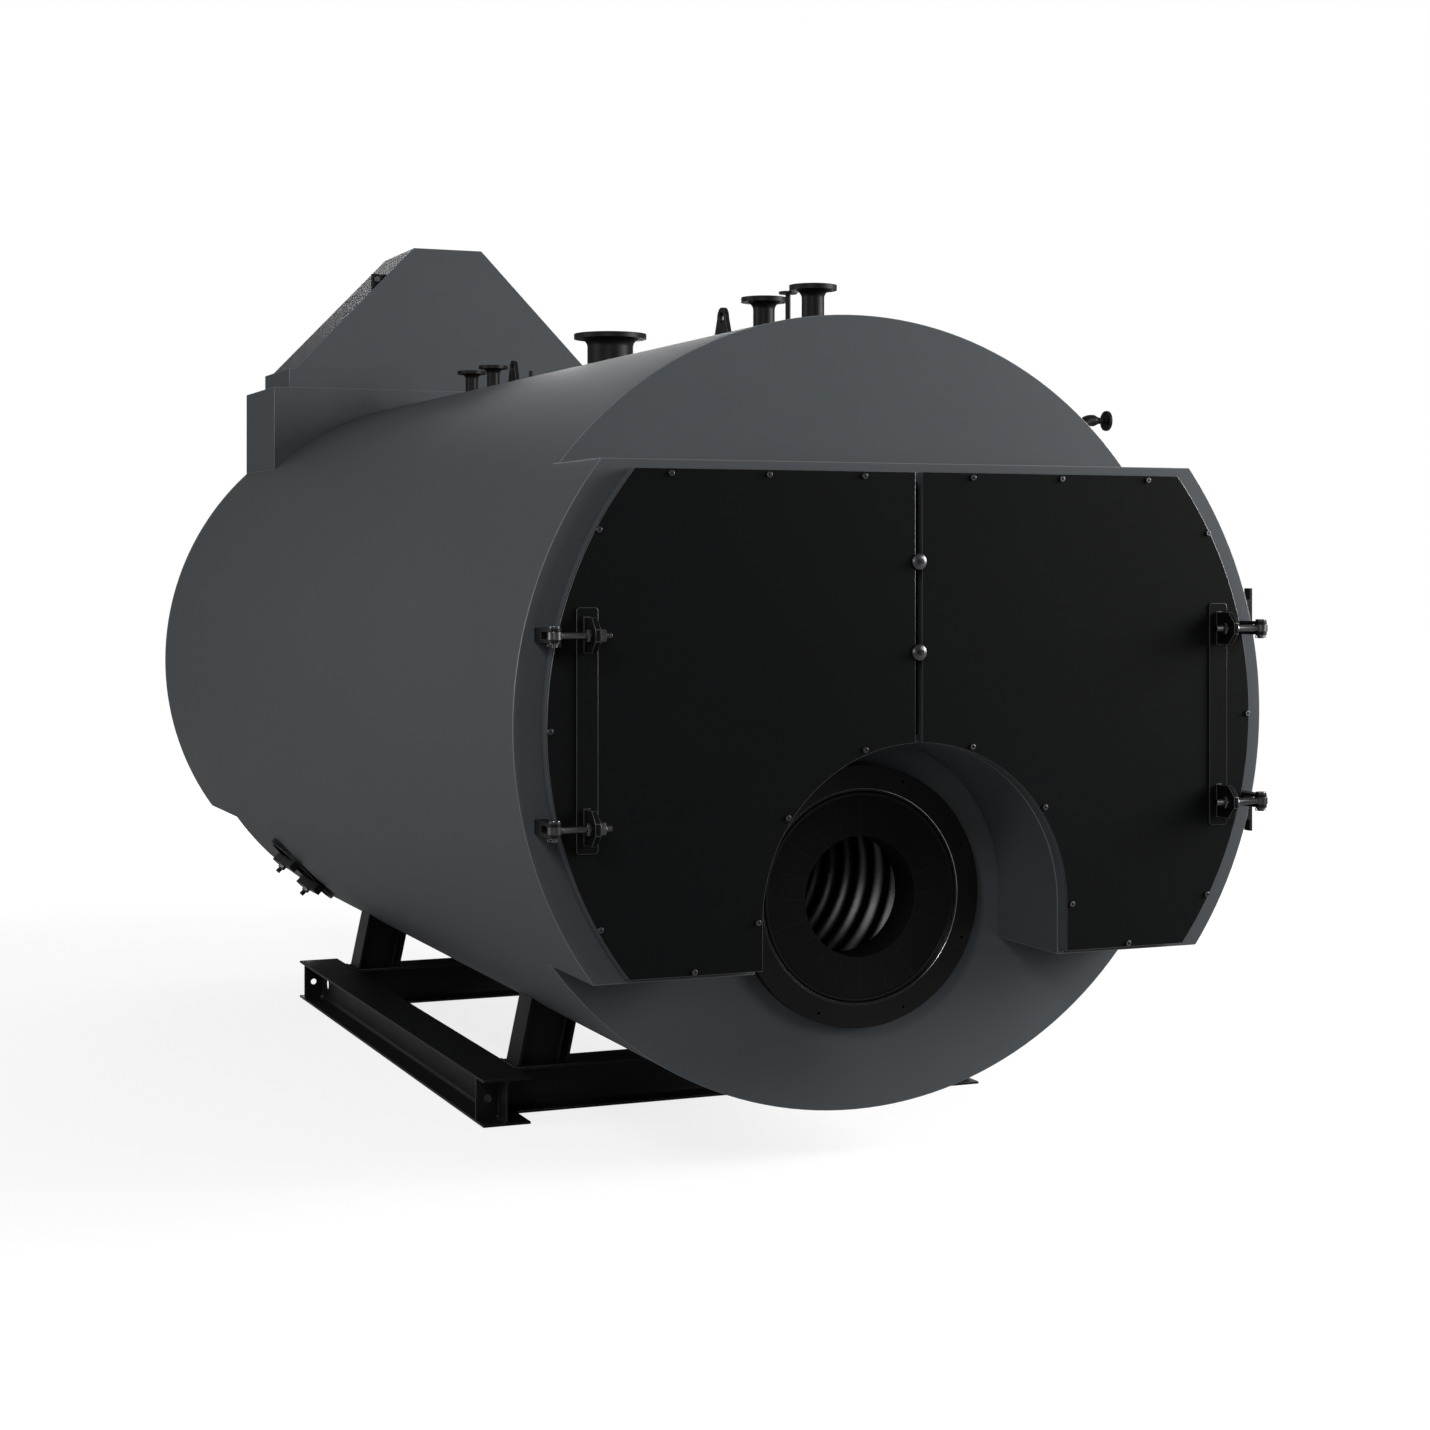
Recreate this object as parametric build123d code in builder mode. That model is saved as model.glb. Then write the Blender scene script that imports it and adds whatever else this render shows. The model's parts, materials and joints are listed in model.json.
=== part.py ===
from build123d import *
from math import cos, hypot, radians, sin, sqrt
import os

# Three-pass shell boiler on a base of steel beams, with two hinged doors in front.
# +X is to the right, +Y to the rear and +Z up. The origin is on the floor, on the centre plane,
# at the middle of the front cross beam. All sizes are in millimetres.

# Shell: an insulated jacket around the pressure vessel
shell_radius = 1500
shell_length = 5520
jacket_wall = 90
belly_gap = 17
front_overhang = 1410
rear_overhang = 1440

# Front covers and the end plate behind them
cover_thickness = 60
end_plate_thickness = 25

# Front casing, which holds the chamber behind the doors
casing_depth = 450
casing_top_share = 0.615
casing_bottom_share = 0.59
casing_top_wall = 66
casing_side_wall = 130
casing_floor_wall = 50
arch_radius = 609
arch_wall = 24
mullion_width = 60
mullion_depth = 50

# Smoke tubes, opening into the front chamber
smoke_hole_radius = 38
smoke_pitch = 130
smoke_row_share = 0.866
upper_bank_rows = 5
upper_bank_half_width = 780
upper_bank_foot = 130
side_bank_rows = 5
side_bank_columns = 4
side_bank_clearance = 90
smoke_rim_clearance = 60

# Burner opening
burner_drop_share = 0.461
burner_flange_radius = 495
burner_flange_thickness = 45
burner_neck_radius = 425
burner_neck_wall = 26
burner_neck_clearance = 5
burner_bolt_circle_diameter = 924
burner_bolt_count = 8
burner_bolt_hole = 14
refractory_setback = 5
refractory_joint = 19.5
refractory_joint_depth = 20
refractory_reach = 130
throat_radius = 229

# Flame tube
tube_radius = 430
tube_wall = 20
tube_end_wall = 25
tube_rear_space = 760
wave_start = 285
wave_pitch = 150
wave_height = 38
wave_count = 8
wave_flat_share = 0.22

# Door leaves, with margins to the casing's outline
leaf_gap = 5
leaf_rim_margin = 98
leaf_top_margin = 34
leaf_bottom_margin = 22
leaf_seam = 13.5
pan_seam_setback = 15
pan_thickness = 49
sheet_thickness = 4.5
sheet_standoff = 12
standoff_diameter = 16
rim_screw_inset = 10
top_screw_inset = 18
bottom_screw_inset = 14
arch_screw_inset = 19
arch_screw_angles = (0, 35, 70)
rim_screw_height_shares = (0.485, -0.005, -0.492)
top_screw_shares = (0.155, 0.418, 0.68)
bottom_screw_share = 0.619

# Door hinges
hinge_margin = 99
hinge_reach = 150
hinge_rise = 325
hinge_offset = -7
strap_distance = 141
strap_width = 78
strap_half_length = 418
strap_thickness = 8
strap_corner = 12
gusset_distance = 139
gusset_thickness = 20
gusset_height = 121
gusset_nose = 45
gusset_slope = 40
rod_diameter = 24
rod_hole = 26
rod_tail = 52
nut_across_flats = 41
nut_height = 19
disc_diameter = 79
disc_edge = 4
disc_rise = 6
eye_radius = 25
eye_width = 25
eye_play = 0.5
pin_diameter = 24
pin_play = 0.05
pin_head = 40
pin_head_height = 8
pin_tail = 14
ear_half_width = 22
ear_thickness = 12
ear_block_depth = 70

# Rear box, its cover and cleaning doors
rear_box_length = 735
rear_box_bottom_share = 0.578
rear_box_wall = 100
rear_cover_thickness = 40
rear_door_width = 620
rear_door_height = 520
rear_door_x = 520
rear_door_rise = 150
rear_door_thickness = 45
rear_door_corner = 40
rear_sheet = 4
rear_insulation = 60

# Flue hood on the rear box
hood_front_lap = 30
hood_base_half_width = 1020
hood_base_rise = 70
shoulder_half_width = 934
shoulder_height = 107
slope_foot_half_width = 900
slope_height = 719
ridge_half_width = 204
hood_back_setback = 120
hood_lug_width = 90
hood_lug_thickness = 20
hood_lug_hole = 26
hood_lug_inset = 20
hood_lug_place_share = 0.78
flue_radius = 250
flue_wall = 6
flue_length = 200
flue_flange_radius = 310
flue_flange_thickness = 10
flue_rise = 153
flue_depth = 300

# Nozzles along the top, with their places behind the front cover
nozzle_rise = 152
front_nozzle_places = (390, 872)
front_nozzle_flange = 188
front_nozzle_flange_thickness = 20
front_nozzle_pipe = 89
front_nozzle_bore = 80
front_nozzle_bolt_circle_diameter = 160
front_nozzle_bolt_count = 8
front_nozzle_bolt_hole = 18
steam_nozzle_place = 2718
steam_nozzle_rise = 162
steam_nozzle_flange = 347
steam_nozzle_flange_thickness = 24
steam_nozzle_pipe = 219
steam_nozzle_bore = 206
steam_nozzle_bolt_circle_diameter = 295
steam_nozzle_bolt_count = 12
steam_nozzle_bolt_hole = 22
rear_nozzle_distances = (921, 513)
rear_nozzle_flange = 161
rear_nozzle_flange_thickness = 18
rear_nozzle_pipe = 70
rear_nozzle_bore = 62
rear_nozzle_bolt_circle_diameter = 125
rear_nozzle_bolt_count = 4
rear_nozzle_bolt_hole = 18
hub_fillet_share = 0.62
nozzle_floor = 5
vent_place = 630
vent_flange = 74
vent_flange_thickness = 10
vent_pipe = 21
stub_lead = 294
stub_pipe = 22
stub_rise = 75
front_lug_place = 1308
rear_lug_distance = 1290
lug_length = 180
lug_thickness = 20
lug_rise = 154
lug_hole = 50
lug_nose_radius = 45

# Level connection on the upper right
side_pipe_x_share = 0.85
side_pipe_place = 510
side_pipe_rise = 368
side_pipe_diameter = 48
side_elbow_radius = 55
side_neck_diameter = 27
side_flange_diameter = 84
side_flange_thickness = 12
side_flange_reach = 135

# Instrument rail on the right of the casing
rail_stand = 45
rail_width = 40
rail_depth = 12
rail_top = 465
rail_bottom = 480
rail_place = 300
rail_arm_inset = 60
rail_arm_height = 30

# Manhole on the lower left of the shell
manhole_distance = 896
manhole_angle = 225.3
manhole_length = 420
manhole_width = 320
manhole_neck_wall = 14
manhole_proud = 12
manhole_cover_depth = 60
manhole_cover_thickness = 25
bridge_length = 400
bridge_width = 40
bridge_height = 45
bridge_spacing = 180
bridge_stud_diameter = 24
bridge_stud_length = 150

# Base frame of rolled H beams, and the legs that lean in under the shell
beam_height = 190
beam_width = 200
beam_web = 7
beam_flange = 10
beam_root = 18
beam_half_spread = 1125
beam_front_reach = 300
beam_rear_reach = 306
beam_hole = 60
beam_hole_inset = 210
stiffener_thickness = 10
stiffener_inset = 110
stiffener_hole = 30
leg_depth = 214
leg_width = 160
leg_web = 8
leg_flange = 12
leg_root = 15
leg_beam_gap = 16
leg_lean = 12

# Levels and places that follow from the sizes
axis_height = beam_height + belly_gap + shell_radius
cover_y = -front_overhang
end_plate_y = cover_y + cover_thickness
casing_front_y = cover_y - casing_depth
shell_back_y = cover_y + shell_length
rear_back_y = shell_back_y + rear_box_length
cross_beam_pitch = shell_length - front_overhang - rear_overhang
jacket_inner_radius = shell_radius - jacket_wall
casing_inner_radius = shell_radius - casing_side_wall
casing_length = casing_depth + cover_thickness
casing_top = casing_top_share * shell_radius
casing_bottom = casing_bottom_share * shell_radius
chamber_top = casing_top - casing_top_wall
chamber_bottom = casing_bottom - casing_floor_wall
rear_box_bottom = rear_box_bottom_share * shell_radius
burner_drop = burner_drop_share * shell_radius
sides = {"left": -1, "right": 1}

os.makedirs("parts", exist_ok=True)


def save(part, name):
    part.label = name
    export_step(part, f"parts/{name}.step")


def facing_front(y, z=axis_height, x=0):
    """A plane across the boiler at y, seen from the front: extrusion goes towards the front."""
    return Plane(origin=(x, y, z), x_dir=(1, 0, 0), z_dir=(0, -1, 0))


def facing_right(x, y=0, z=axis_height):
    """A plane along the boiler at x: its own x runs to the rear, and extrusion goes to the right."""
    return Plane(origin=(x, y, z), x_dir=(0, 1, 0), z_dir=(1, 0, 0))


def keep_above(height):
    """Keeps the part of a sketch facing the front that is above a height over the shell's axis."""
    with Locations((0, height)):
        Rectangle(
            4 * shell_radius,
            4 * shell_radius,
            align=(Align.CENTER, Align.MIN),
            mode=Mode.INTERSECT,
        )


def keep_below(height):
    """Keeps the part of a sketch facing the front that is below a height over the shell's axis."""
    with Locations((0, height)):
        Rectangle(
            4 * shell_radius,
            4 * shell_radius,
            align=(Align.CENTER, Align.MAX),
            mode=Mode.INTERSECT,
        )


def add_arch(radius, foot, mode):
    """The burner's arch: a round head on straight sides that run down to a depth under the axis."""
    with Locations((0, -burner_drop)):
        Circle(radius, mode=mode)
        Rectangle(2 * radius, foot - burner_drop, align=(Align.CENTER, Align.MAX), mode=mode)


def cut_shell():
    """Trims a piece to where it meets the round of the shell."""
    with Locations((0, (cover_y + shell_back_y) / 2, axis_height)):
        Cylinder(shell_radius, 2 * shell_length, rotation=(90, 0, 0), mode=Mode.SUBTRACT)


def add_h_section(section, height, width, web, flange, root):
    """An H section, its web upright in the sketch, with the rolled root in its four corners."""
    Rectangle(width, height)
    for side in (-1, 1):
        with Locations((side * (width + web) / 4, 0)):
            Rectangle((width - web) / 2, height - 2 * flange, mode=Mode.SUBTRACT)
    fillet([corner for corner in section.vertices() if abs(corner.X) < web], root)


# Shell jacket, with the hole for the manhole's neck
manhole_out = (cos(radians(manhole_angle)), 0, sin(radians(manhole_angle)))
manhole_plane = Plane(
    origin=(
        jacket_inner_radius * manhole_out[0],
        shell_back_y - manhole_distance,
        axis_height + jacket_inner_radius * manhole_out[2],
    ),
    x_dir=(0, 1, 0),
    z_dir=manhole_out,
)
neck_outer_x = manhole_width / 2 + manhole_neck_wall
neck_outer_y = manhole_length / 2 + manhole_neck_wall

with BuildPart() as shell_jacket:
    with BuildSketch(facing_front(shell_back_y)):
        Circle(shell_radius)
        Circle(jacket_inner_radius, mode=Mode.SUBTRACT)
    extrude(amount=shell_length - cover_thickness)
    with BuildSketch(manhole_plane.offset(-jacket_wall)):
        Ellipse(neck_outer_x, neck_outer_y)
    extrude(amount=4 * jacket_wall, mode=Mode.SUBTRACT)
save(shell_jacket.part, "shell_jacket")

# Insulated front covers above and below the casing; the lower one reaches up into the arch
with BuildPart() as front_cover_upper:
    with BuildSketch(facing_front(end_plate_y)):
        Circle(shell_radius)
        keep_above(casing_top)
    extrude(amount=cover_thickness)
save(front_cover_upper.part, "front_cover_upper")

with BuildPart() as front_cover_lower:
    with BuildSketch(facing_front(end_plate_y)):
        Circle(shell_radius)
        keep_below(-casing_bottom)
        add_arch(arch_radius, casing_bottom, Mode.ADD)
        with Locations((0, -burner_drop)):
            Circle(burner_neck_radius + burner_neck_clearance, mode=Mode.SUBTRACT)
    extrude(amount=cover_thickness)
save(front_cover_lower.part, "front_cover_lower")

# Front casing: round side walls on two floor plates, a roof over them, and the burner's arch
with BuildPart() as front_casing:
    with BuildSketch(facing_front(end_plate_y)):
        Circle(shell_radius)
        keep_above(-casing_bottom)
        keep_below(chamber_top)
    extrude(amount=casing_length)
    with BuildSketch(facing_front(end_plate_y)):
        Circle(casing_inner_radius)
        keep_above(-chamber_bottom)
        add_arch(arch_radius + arch_wall, shell_radius, Mode.ADD)
    extrude(amount=casing_length, mode=Mode.SUBTRACT)
save(front_casing.part, "front_casing")

with BuildPart() as casing_roof:
    with BuildSketch(facing_front(end_plate_y)):
        Circle(shell_radius)
        keep_above(chamber_top)
        keep_below(casing_top)
    extrude(amount=casing_length)
save(casing_roof.part, "casing_roof")

with BuildPart() as burner_arch:
    with BuildSketch(facing_front(end_plate_y)):
        add_arch(arch_radius + arch_wall, casing_bottom, Mode.ADD)
        add_arch(arch_radius, shell_radius, Mode.SUBTRACT)
        keep_above(-casing_bottom)
    extrude(amount=casing_length)
save(burner_arch.part, "burner_arch")

with BuildPart() as casing_mullion:
    with BuildSketch(facing_front(casing_front_y + mullion_depth)):
        with Locations((0, chamber_top)):
            Rectangle(mullion_width, chamber_top + burner_drop, align=(Align.CENTER, Align.MAX))
        with Locations((0, -burner_drop)):
            Circle(arch_radius + arch_wall, mode=Mode.SUBTRACT)
    extrude(amount=mullion_depth)
save(casing_mullion.part, "casing_mullion")

# End plate of the pressure vessel, with the flame tube's hole and three banks of smoke tubes
smoke_row = smoke_row_share * smoke_pitch


def row_shift(row):
    """Every other row of a bank is half a pitch to one side, so the tubes lie in triangles."""
    return smoke_pitch / 2 if row % 2 else 0


def smoke_places():
    """The tubes' places: one bank over the burner's arch and one at each side of it."""
    places = []
    columns = int(upper_bank_half_width // smoke_pitch)
    for row in range(upper_bank_rows):
        z = upper_bank_foot + row * smoke_row
        for column in range(-columns, columns + 1):
            places.append((column * smoke_pitch + row_shift(row), z))
    first_x = arch_radius + arch_wall + side_bank_clearance
    for row in range(side_bank_rows):
        z = upper_bank_foot - (row + 2) * smoke_row
        for column in range(side_bank_columns):
            x = first_x + column * smoke_pitch + row_shift(row)
            if hypot(x, z) < casing_inner_radius - smoke_hole_radius - smoke_rim_clearance:
                places.append((x, z))
                places.append((-x, z))
    return places


with BuildPart() as front_end_plate:
    with BuildSketch(facing_front(end_plate_y + end_plate_thickness)):
        Circle(jacket_inner_radius)
        with Locations((0, -burner_drop)):
            Circle(tube_radius + tube_wall, mode=Mode.SUBTRACT)
        with Locations(*smoke_places()):
            Circle(smoke_hole_radius, mode=Mode.SUBTRACT)
    extrude(amount=end_plate_thickness)
save(front_end_plate.part, "front_end_plate")

# Burner opening: a bolted flange on a neck, and the refractory throat inside it
with BuildPart() as burner_flange:
    with BuildSketch(facing_front(cover_y)):
        with Locations((0, -burner_drop)):
            Circle(burner_flange_radius)
            Circle(burner_neck_radius - burner_neck_wall, mode=Mode.SUBTRACT)
            with PolarLocations(
                burner_bolt_circle_diameter / 2,
                burner_bolt_count,
                start_angle=180 / burner_bolt_count,
            ):
                Circle(burner_bolt_hole / 2, mode=Mode.SUBTRACT)
    extrude(amount=burner_flange_thickness)
    with BuildSketch(facing_front(end_plate_y)):
        with Locations((0, -burner_drop)):
            Circle(burner_neck_radius)
            Circle(burner_neck_radius - burner_neck_wall, mode=Mode.SUBTRACT)
    extrude(amount=cover_thickness)
save(burner_flange.part, "burner_flange")

burner_axis = Axis((0, 0, axis_height - burner_drop), (0, 1, 0))
burner_half_plane = facing_right(0, 0, axis_height - burner_drop)
refractory_front_y = cover_y - burner_flange_thickness + refractory_setback
refractory_radius = burner_neck_radius - burner_neck_wall
refractory_step_y = refractory_front_y + refractory_joint_depth

with BuildPart() as refractory_throat:
    with BuildSketch(burner_half_plane):
        with BuildLine():
            Polyline(
                (refractory_front_y, throat_radius),
                (cover_y + refractory_reach, throat_radius),
                (cover_y + refractory_reach, tube_radius),
                (end_plate_y, tube_radius),
                (end_plate_y, refractory_radius),
                (refractory_step_y, refractory_radius),
                (refractory_step_y, refractory_radius - refractory_joint),
                (refractory_front_y, refractory_radius - refractory_joint),
                close=True,
            )
        make_face()
    revolve(axis=burner_axis)
save(refractory_throat.part, "refractory_throat")


# Flame tube: a plain front end, rolled corrugations, then a plain length to its closed end
def wave_line(first_y, radius):
    """The corners of the corrugations, from the front, for one face of the tube's wall."""
    flat = wave_flat_share * wave_pitch
    slope = wave_pitch / 2 - flat
    points = []
    for turn in range(wave_count):
        start = first_y + turn * wave_pitch
        points.append((start, radius))
        points.append((start + slope, radius + wave_height))
        points.append((start + slope + flat, radius + wave_height))
        points.append((start + 2 * slope + flat, radius))
    return points


tube_back_y = shell_back_y - tube_rear_space
with BuildPart() as flame_tube:
    with BuildSketch(burner_half_plane):
        with BuildLine():
            Polyline(
                (end_plate_y, tube_radius),
                *wave_line(cover_y + wave_start, tube_radius),
                (tube_back_y - tube_end_wall, tube_radius),
                (tube_back_y - tube_end_wall, 0),
                (tube_back_y, 0),
                (tube_back_y, tube_radius + tube_wall),
                *reversed(wave_line(cover_y + wave_start, tube_radius + tube_wall)),
                (end_plate_y, tube_radius + tube_wall),
                close=True,
            )
        make_face()
    revolve(axis=burner_axis)
save(flame_tube.part, "flame_tube")

# Door leaves: each is an insulated pan, with a thin sheet held off its front by studs
leaf_radius = shell_radius - leaf_rim_margin
leaf_top = casing_top - leaf_top_margin
leaf_bottom = casing_bottom - leaf_bottom_margin
pan_back_y = casing_front_y - leaf_gap
pan_front_y = pan_back_y - pan_thickness
sheet_back_y = pan_front_y - sheet_standoff
sheet_front_y = sheet_back_y - sheet_thickness
strap_front_y = sheet_front_y - strap_thickness


def add_leaf_outline(side, seam):
    """One leaf's outline in the current sketch, from its seam edge to the round of the shell."""
    Circle(leaf_radius)
    with Locations((side * seam, -leaf_bottom)):
        Rectangle(
            leaf_radius,
            leaf_top + leaf_bottom,
            align=(Align.MIN if side > 0 else Align.MAX, Align.MIN),
            mode=Mode.INTERSECT,
        )
    add_arch(arch_radius, shell_radius, Mode.SUBTRACT)


def screw_places(side):
    """Where the screws hold one leaf's sheet: along its top, rim, bottom and arch."""
    rim = leaf_radius - rim_screw_inset
    arch = arch_radius + arch_screw_inset
    places = [(share * leaf_radius, leaf_top - top_screw_inset) for share in top_screw_shares]
    for share in rim_screw_height_shares:
        places.append((rim * sqrt(1 - share**2), rim * share))
    places.append((bottom_screw_share * leaf_radius, bottom_screw_inset - leaf_bottom))
    for angle in arch_screw_angles:
        turn = radians(angle)
        places.append((arch * cos(turn), arch * sin(turn) - burner_drop))
    return [(side * x, z) for x, z in places]


def make_pan(side):
    with BuildSketch(facing_front(pan_front_y)) as outline:
        add_leaf_outline(side, leaf_seam + pan_seam_setback)
    with BuildPart() as pan:
        with BuildSketch(facing_front(pan_back_y)):
            add_leaf_outline(side, leaf_seam + pan_seam_setback)
        extrude(amount=pan_thickness)
        with BuildSketch(facing_front(pan_front_y)):
            with Locations(*screw_places(side)):
                Circle(standoff_diameter / 2)
            add(outline.sketch_local, mode=Mode.INTERSECT)
        extrude(amount=sheet_standoff)
    return pan.part


def make_sheet(side):
    with BuildPart() as sheet:
        with BuildSketch(facing_front(sheet_back_y)):
            add_leaf_outline(side, leaf_seam)
        extrude(amount=sheet_thickness)
    return sheet.part


# Hinges: a strap with two gussets on each leaf, rods with eyes, and pins in ears on the casing
hinge_x = shell_radius - hinge_margin
hinge_y = casing_front_y - hinge_reach
hinge_heights = (hinge_offset + hinge_rise, hinge_offset - hinge_rise)
strap_x = hinge_x - strap_distance
gusset_x = hinge_x - gusset_distance
gusset_front_y = hinge_y - gusset_nose


def make_strap(side):
    """The upright strap on the sheet, with one gusset for each hinge rod."""
    foot = gusset_height / 2
    nose = gusset_height / 2 - gusset_slope
    with BuildPart() as strap:
        with BuildSketch(facing_front(sheet_front_y)):
            with Locations((side * strap_x, hinge_offset)):
                RectangleRounded(strap_width, 2 * strap_half_length, strap_corner)
        extrude(amount=strap_thickness)
        for height in hinge_heights:
            gusset_plane = facing_right(side * gusset_x, 0, axis_height + height)
            with BuildSketch(gusset_plane.offset(-gusset_thickness / 2)):
                with BuildLine():
                    Polyline(
                        (strap_front_y, -foot),
                        (gusset_front_y + gusset_slope, -foot),
                        (gusset_front_y, -nose),
                        (gusset_front_y, nose),
                        (gusset_front_y + gusset_slope, foot),
                        (strap_front_y, foot),
                        close=True,
                    )
                make_face()
                with Locations((hinge_y, 0)):
                    Circle(rod_hole / 2, mode=Mode.SUBTRACT)
            extrude(amount=gusset_thickness)
    return strap.part


def make_eye_bolts(side):
    """Hinge rods with their eyes, nuts and domed discs, one at each hinge height."""
    inner_face = gusset_x - gusset_thickness / 2
    outer_face = gusset_x + gusset_thickness / 2
    disc_inside = side < 0
    disc_face = inner_face if disc_inside else outer_face
    away = -1 if disc_inside else 1
    disc_height = disc_edge + disc_rise
    inner_nut = inner_face - nut_height - (disc_height if disc_inside else 0)
    with BuildPart() as bolts:
        for height in hinge_heights:
            z = axis_height + height
            rod_plane = Plane(origin=(0, hinge_y, z), x_dir=(0, 1, 0), z_dir=(side, 0, 0))
            with BuildSketch(Plane.XY.offset(z - eye_width / 2)):
                with Locations((side * hinge_x, hinge_y)):
                    Circle(eye_radius)
            extrude(amount=eye_width)
            with BuildSketch(rod_plane.offset(inner_face - rod_tail)):
                Circle(rod_diameter / 2)
            extrude(amount=hinge_x - inner_face + rod_tail)
            with BuildSketch(rod_plane.offset(inner_nut), rod_plane.offset(outer_face)):
                RegularPolygon(nut_across_flats / 2, 6, major_radius=False)
            extrude(amount=nut_height)
            with BuildSketch(rod_plane.offset(disc_face)):
                Circle(disc_diameter / 2)
            extrude(amount=away * disc_edge)
            with BuildSketch(rod_plane.offset(disc_face + away * disc_edge)):
                Circle(disc_diameter / 2)
            with BuildSketch(rod_plane.offset(disc_face + away * disc_height)):
                Circle(nut_across_flats / 2)
            loft()
            with BuildSketch(Plane.XY.offset(z - eye_width / 2)):
                with Locations((side * hinge_x, hinge_y)):
                    Circle(pin_diameter / 2 + pin_play)
            extrude(amount=eye_width, mode=Mode.SUBTRACT)
    return bolts.part


def make_hinge_brackets(side):
    """Pairs of ears on the casing's face, joined by a block behind the rod's eye."""
    gap = eye_width + 2 * eye_play
    with BuildPart() as brackets:
        for height in hinge_heights:
            z = axis_height + height
            for start in (z + gap / 2, z - gap / 2 - ear_thickness):
                with BuildSketch(Plane.XY.offset(start)):
                    with Locations((side * hinge_x, hinge_y)):
                        Circle(ear_half_width)
                        Rectangle(2 * ear_half_width, hinge_reach, align=(Align.CENTER, Align.MIN))
                        Circle(pin_diameter / 2 + pin_play, mode=Mode.SUBTRACT)
                extrude(amount=ear_thickness)
            with BuildSketch(facing_front(casing_front_y, z)):
                with Locations((side * hinge_x, 0)):
                    Rectangle(2 * ear_half_width, gap)
            extrude(amount=ear_block_depth)
    return brackets.part


def make_hinge_pins(side):
    """Headed pins through the ears and the eyes."""
    half_stack = eye_width / 2 + eye_play + ear_thickness
    with BuildPart() as pins:
        for height in hinge_heights:
            top = axis_height + height + half_stack
            with BuildSketch(Plane.XY.offset(top - 2 * half_stack - pin_tail)):
                with Locations((side * hinge_x, hinge_y)):
                    Circle(pin_diameter / 2)
            extrude(amount=2 * half_stack + pin_tail)
            with BuildSketch(Plane.XY.offset(top)):
                with Locations((side * hinge_x, hinge_y)):
                    Circle(pin_head / 2)
            extrude(amount=pin_head_height)
    return pins.part


for side_name, side in sides.items():
    save(make_pan(side), f"door_{side_name}_pan")
    save(make_sheet(side), f"door_{side_name}_sheet")
    save(make_strap(side), f"door_{side_name}_strap")
    save(make_eye_bolts(side), f"door_{side_name}_eye_bolts")
    save(make_hinge_brackets(side), f"hinge_brackets_{side_name}")
    save(make_hinge_pins(side), f"hinge_pins_{side_name}")

# Rear box, its cover with two cleaning doors, and the cover below it
rear_frame_length = rear_box_length - rear_cover_thickness
with BuildPart() as rear_casing:
    with BuildSketch(facing_front(shell_back_y + rear_frame_length)):
        Circle(shell_radius)
        keep_above(-rear_box_bottom)
    extrude(amount=rear_frame_length)
    with BuildSketch(facing_front(shell_back_y + rear_frame_length)):
        Circle(shell_radius - rear_box_wall)
        keep_above(rear_box_wall - rear_box_bottom)
    extrude(amount=rear_frame_length - rear_box_wall, mode=Mode.SUBTRACT)
save(rear_casing.part, "rear_casing")

with BuildPart() as rear_cover:
    with BuildSketch(facing_front(rear_back_y)):
        Circle(shell_radius)
        keep_above(-rear_box_bottom)
    extrude(amount=rear_cover_thickness)
save(rear_cover.part, "rear_cover")

with BuildPart() as rear_cleaning_doors:
    with BuildSketch(facing_front(rear_back_y + rear_door_thickness)):
        with Locations((-rear_door_x, rear_door_rise), (rear_door_x, rear_door_rise)):
            RectangleRounded(rear_door_width, rear_door_height, rear_door_corner)
    extrude(amount=rear_door_thickness)
save(rear_cleaning_doors.part, "rear_cleaning_doors")

with BuildPart() as rear_cover_lower:
    with BuildSketch(facing_front(shell_back_y + rear_sheet)):
        Circle(shell_radius)
        keep_below(-rear_box_bottom)
    extrude(amount=rear_sheet)
    with BuildSketch(facing_front(shell_back_y)):
        Circle(jacket_inner_radius)
        keep_below(-rear_box_bottom)
    extrude(amount=rear_insulation)
save(rear_cover_lower.part, "rear_cover_lower")

# Flue hood: a saddle box on the shell, and the sloping top with its outlet at the back
hood_front_y = shell_back_y - hood_front_lap
hood_back_y = rear_back_y - hood_back_setback
hood_base_top = shell_radius + hood_base_rise
shoulder_top = hood_base_top + shoulder_height
ridge_top = shoulder_top + slope_height
flue_height = shoulder_top + flue_rise

with BuildPart() as hood_base:
    with BuildSketch(facing_front(rear_back_y)):
        Rectangle(2 * hood_base_half_width, hood_base_top, align=(Align.CENTER, Align.MIN))
    extrude(amount=rear_back_y - hood_front_y)
    cut_shell()
save(hood_base.part, "hood_base")

with BuildPart() as hood_top:
    with BuildSketch(facing_front(hood_back_y)):
        with Locations((0, hood_base_top)):
            Rectangle(
                2 * shoulder_half_width, shoulder_height, align=(Align.CENTER, Align.MIN)
            )
        with BuildLine():
            Polyline(
                (-slope_foot_half_width, shoulder_top),
                (slope_foot_half_width, shoulder_top),
                (ridge_half_width, ridge_top),
                (-ridge_half_width, ridge_top),
                close=True,
            )
        make_face()
    extrude(amount=hood_back_y - hood_front_y)
    with BuildSketch(facing_front(hood_back_y)):
        with Locations((0, flue_height)):
            Circle(flue_radius)
    extrude(amount=flue_depth, mode=Mode.SUBTRACT)
save(hood_top.part, "hood_top")

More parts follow.
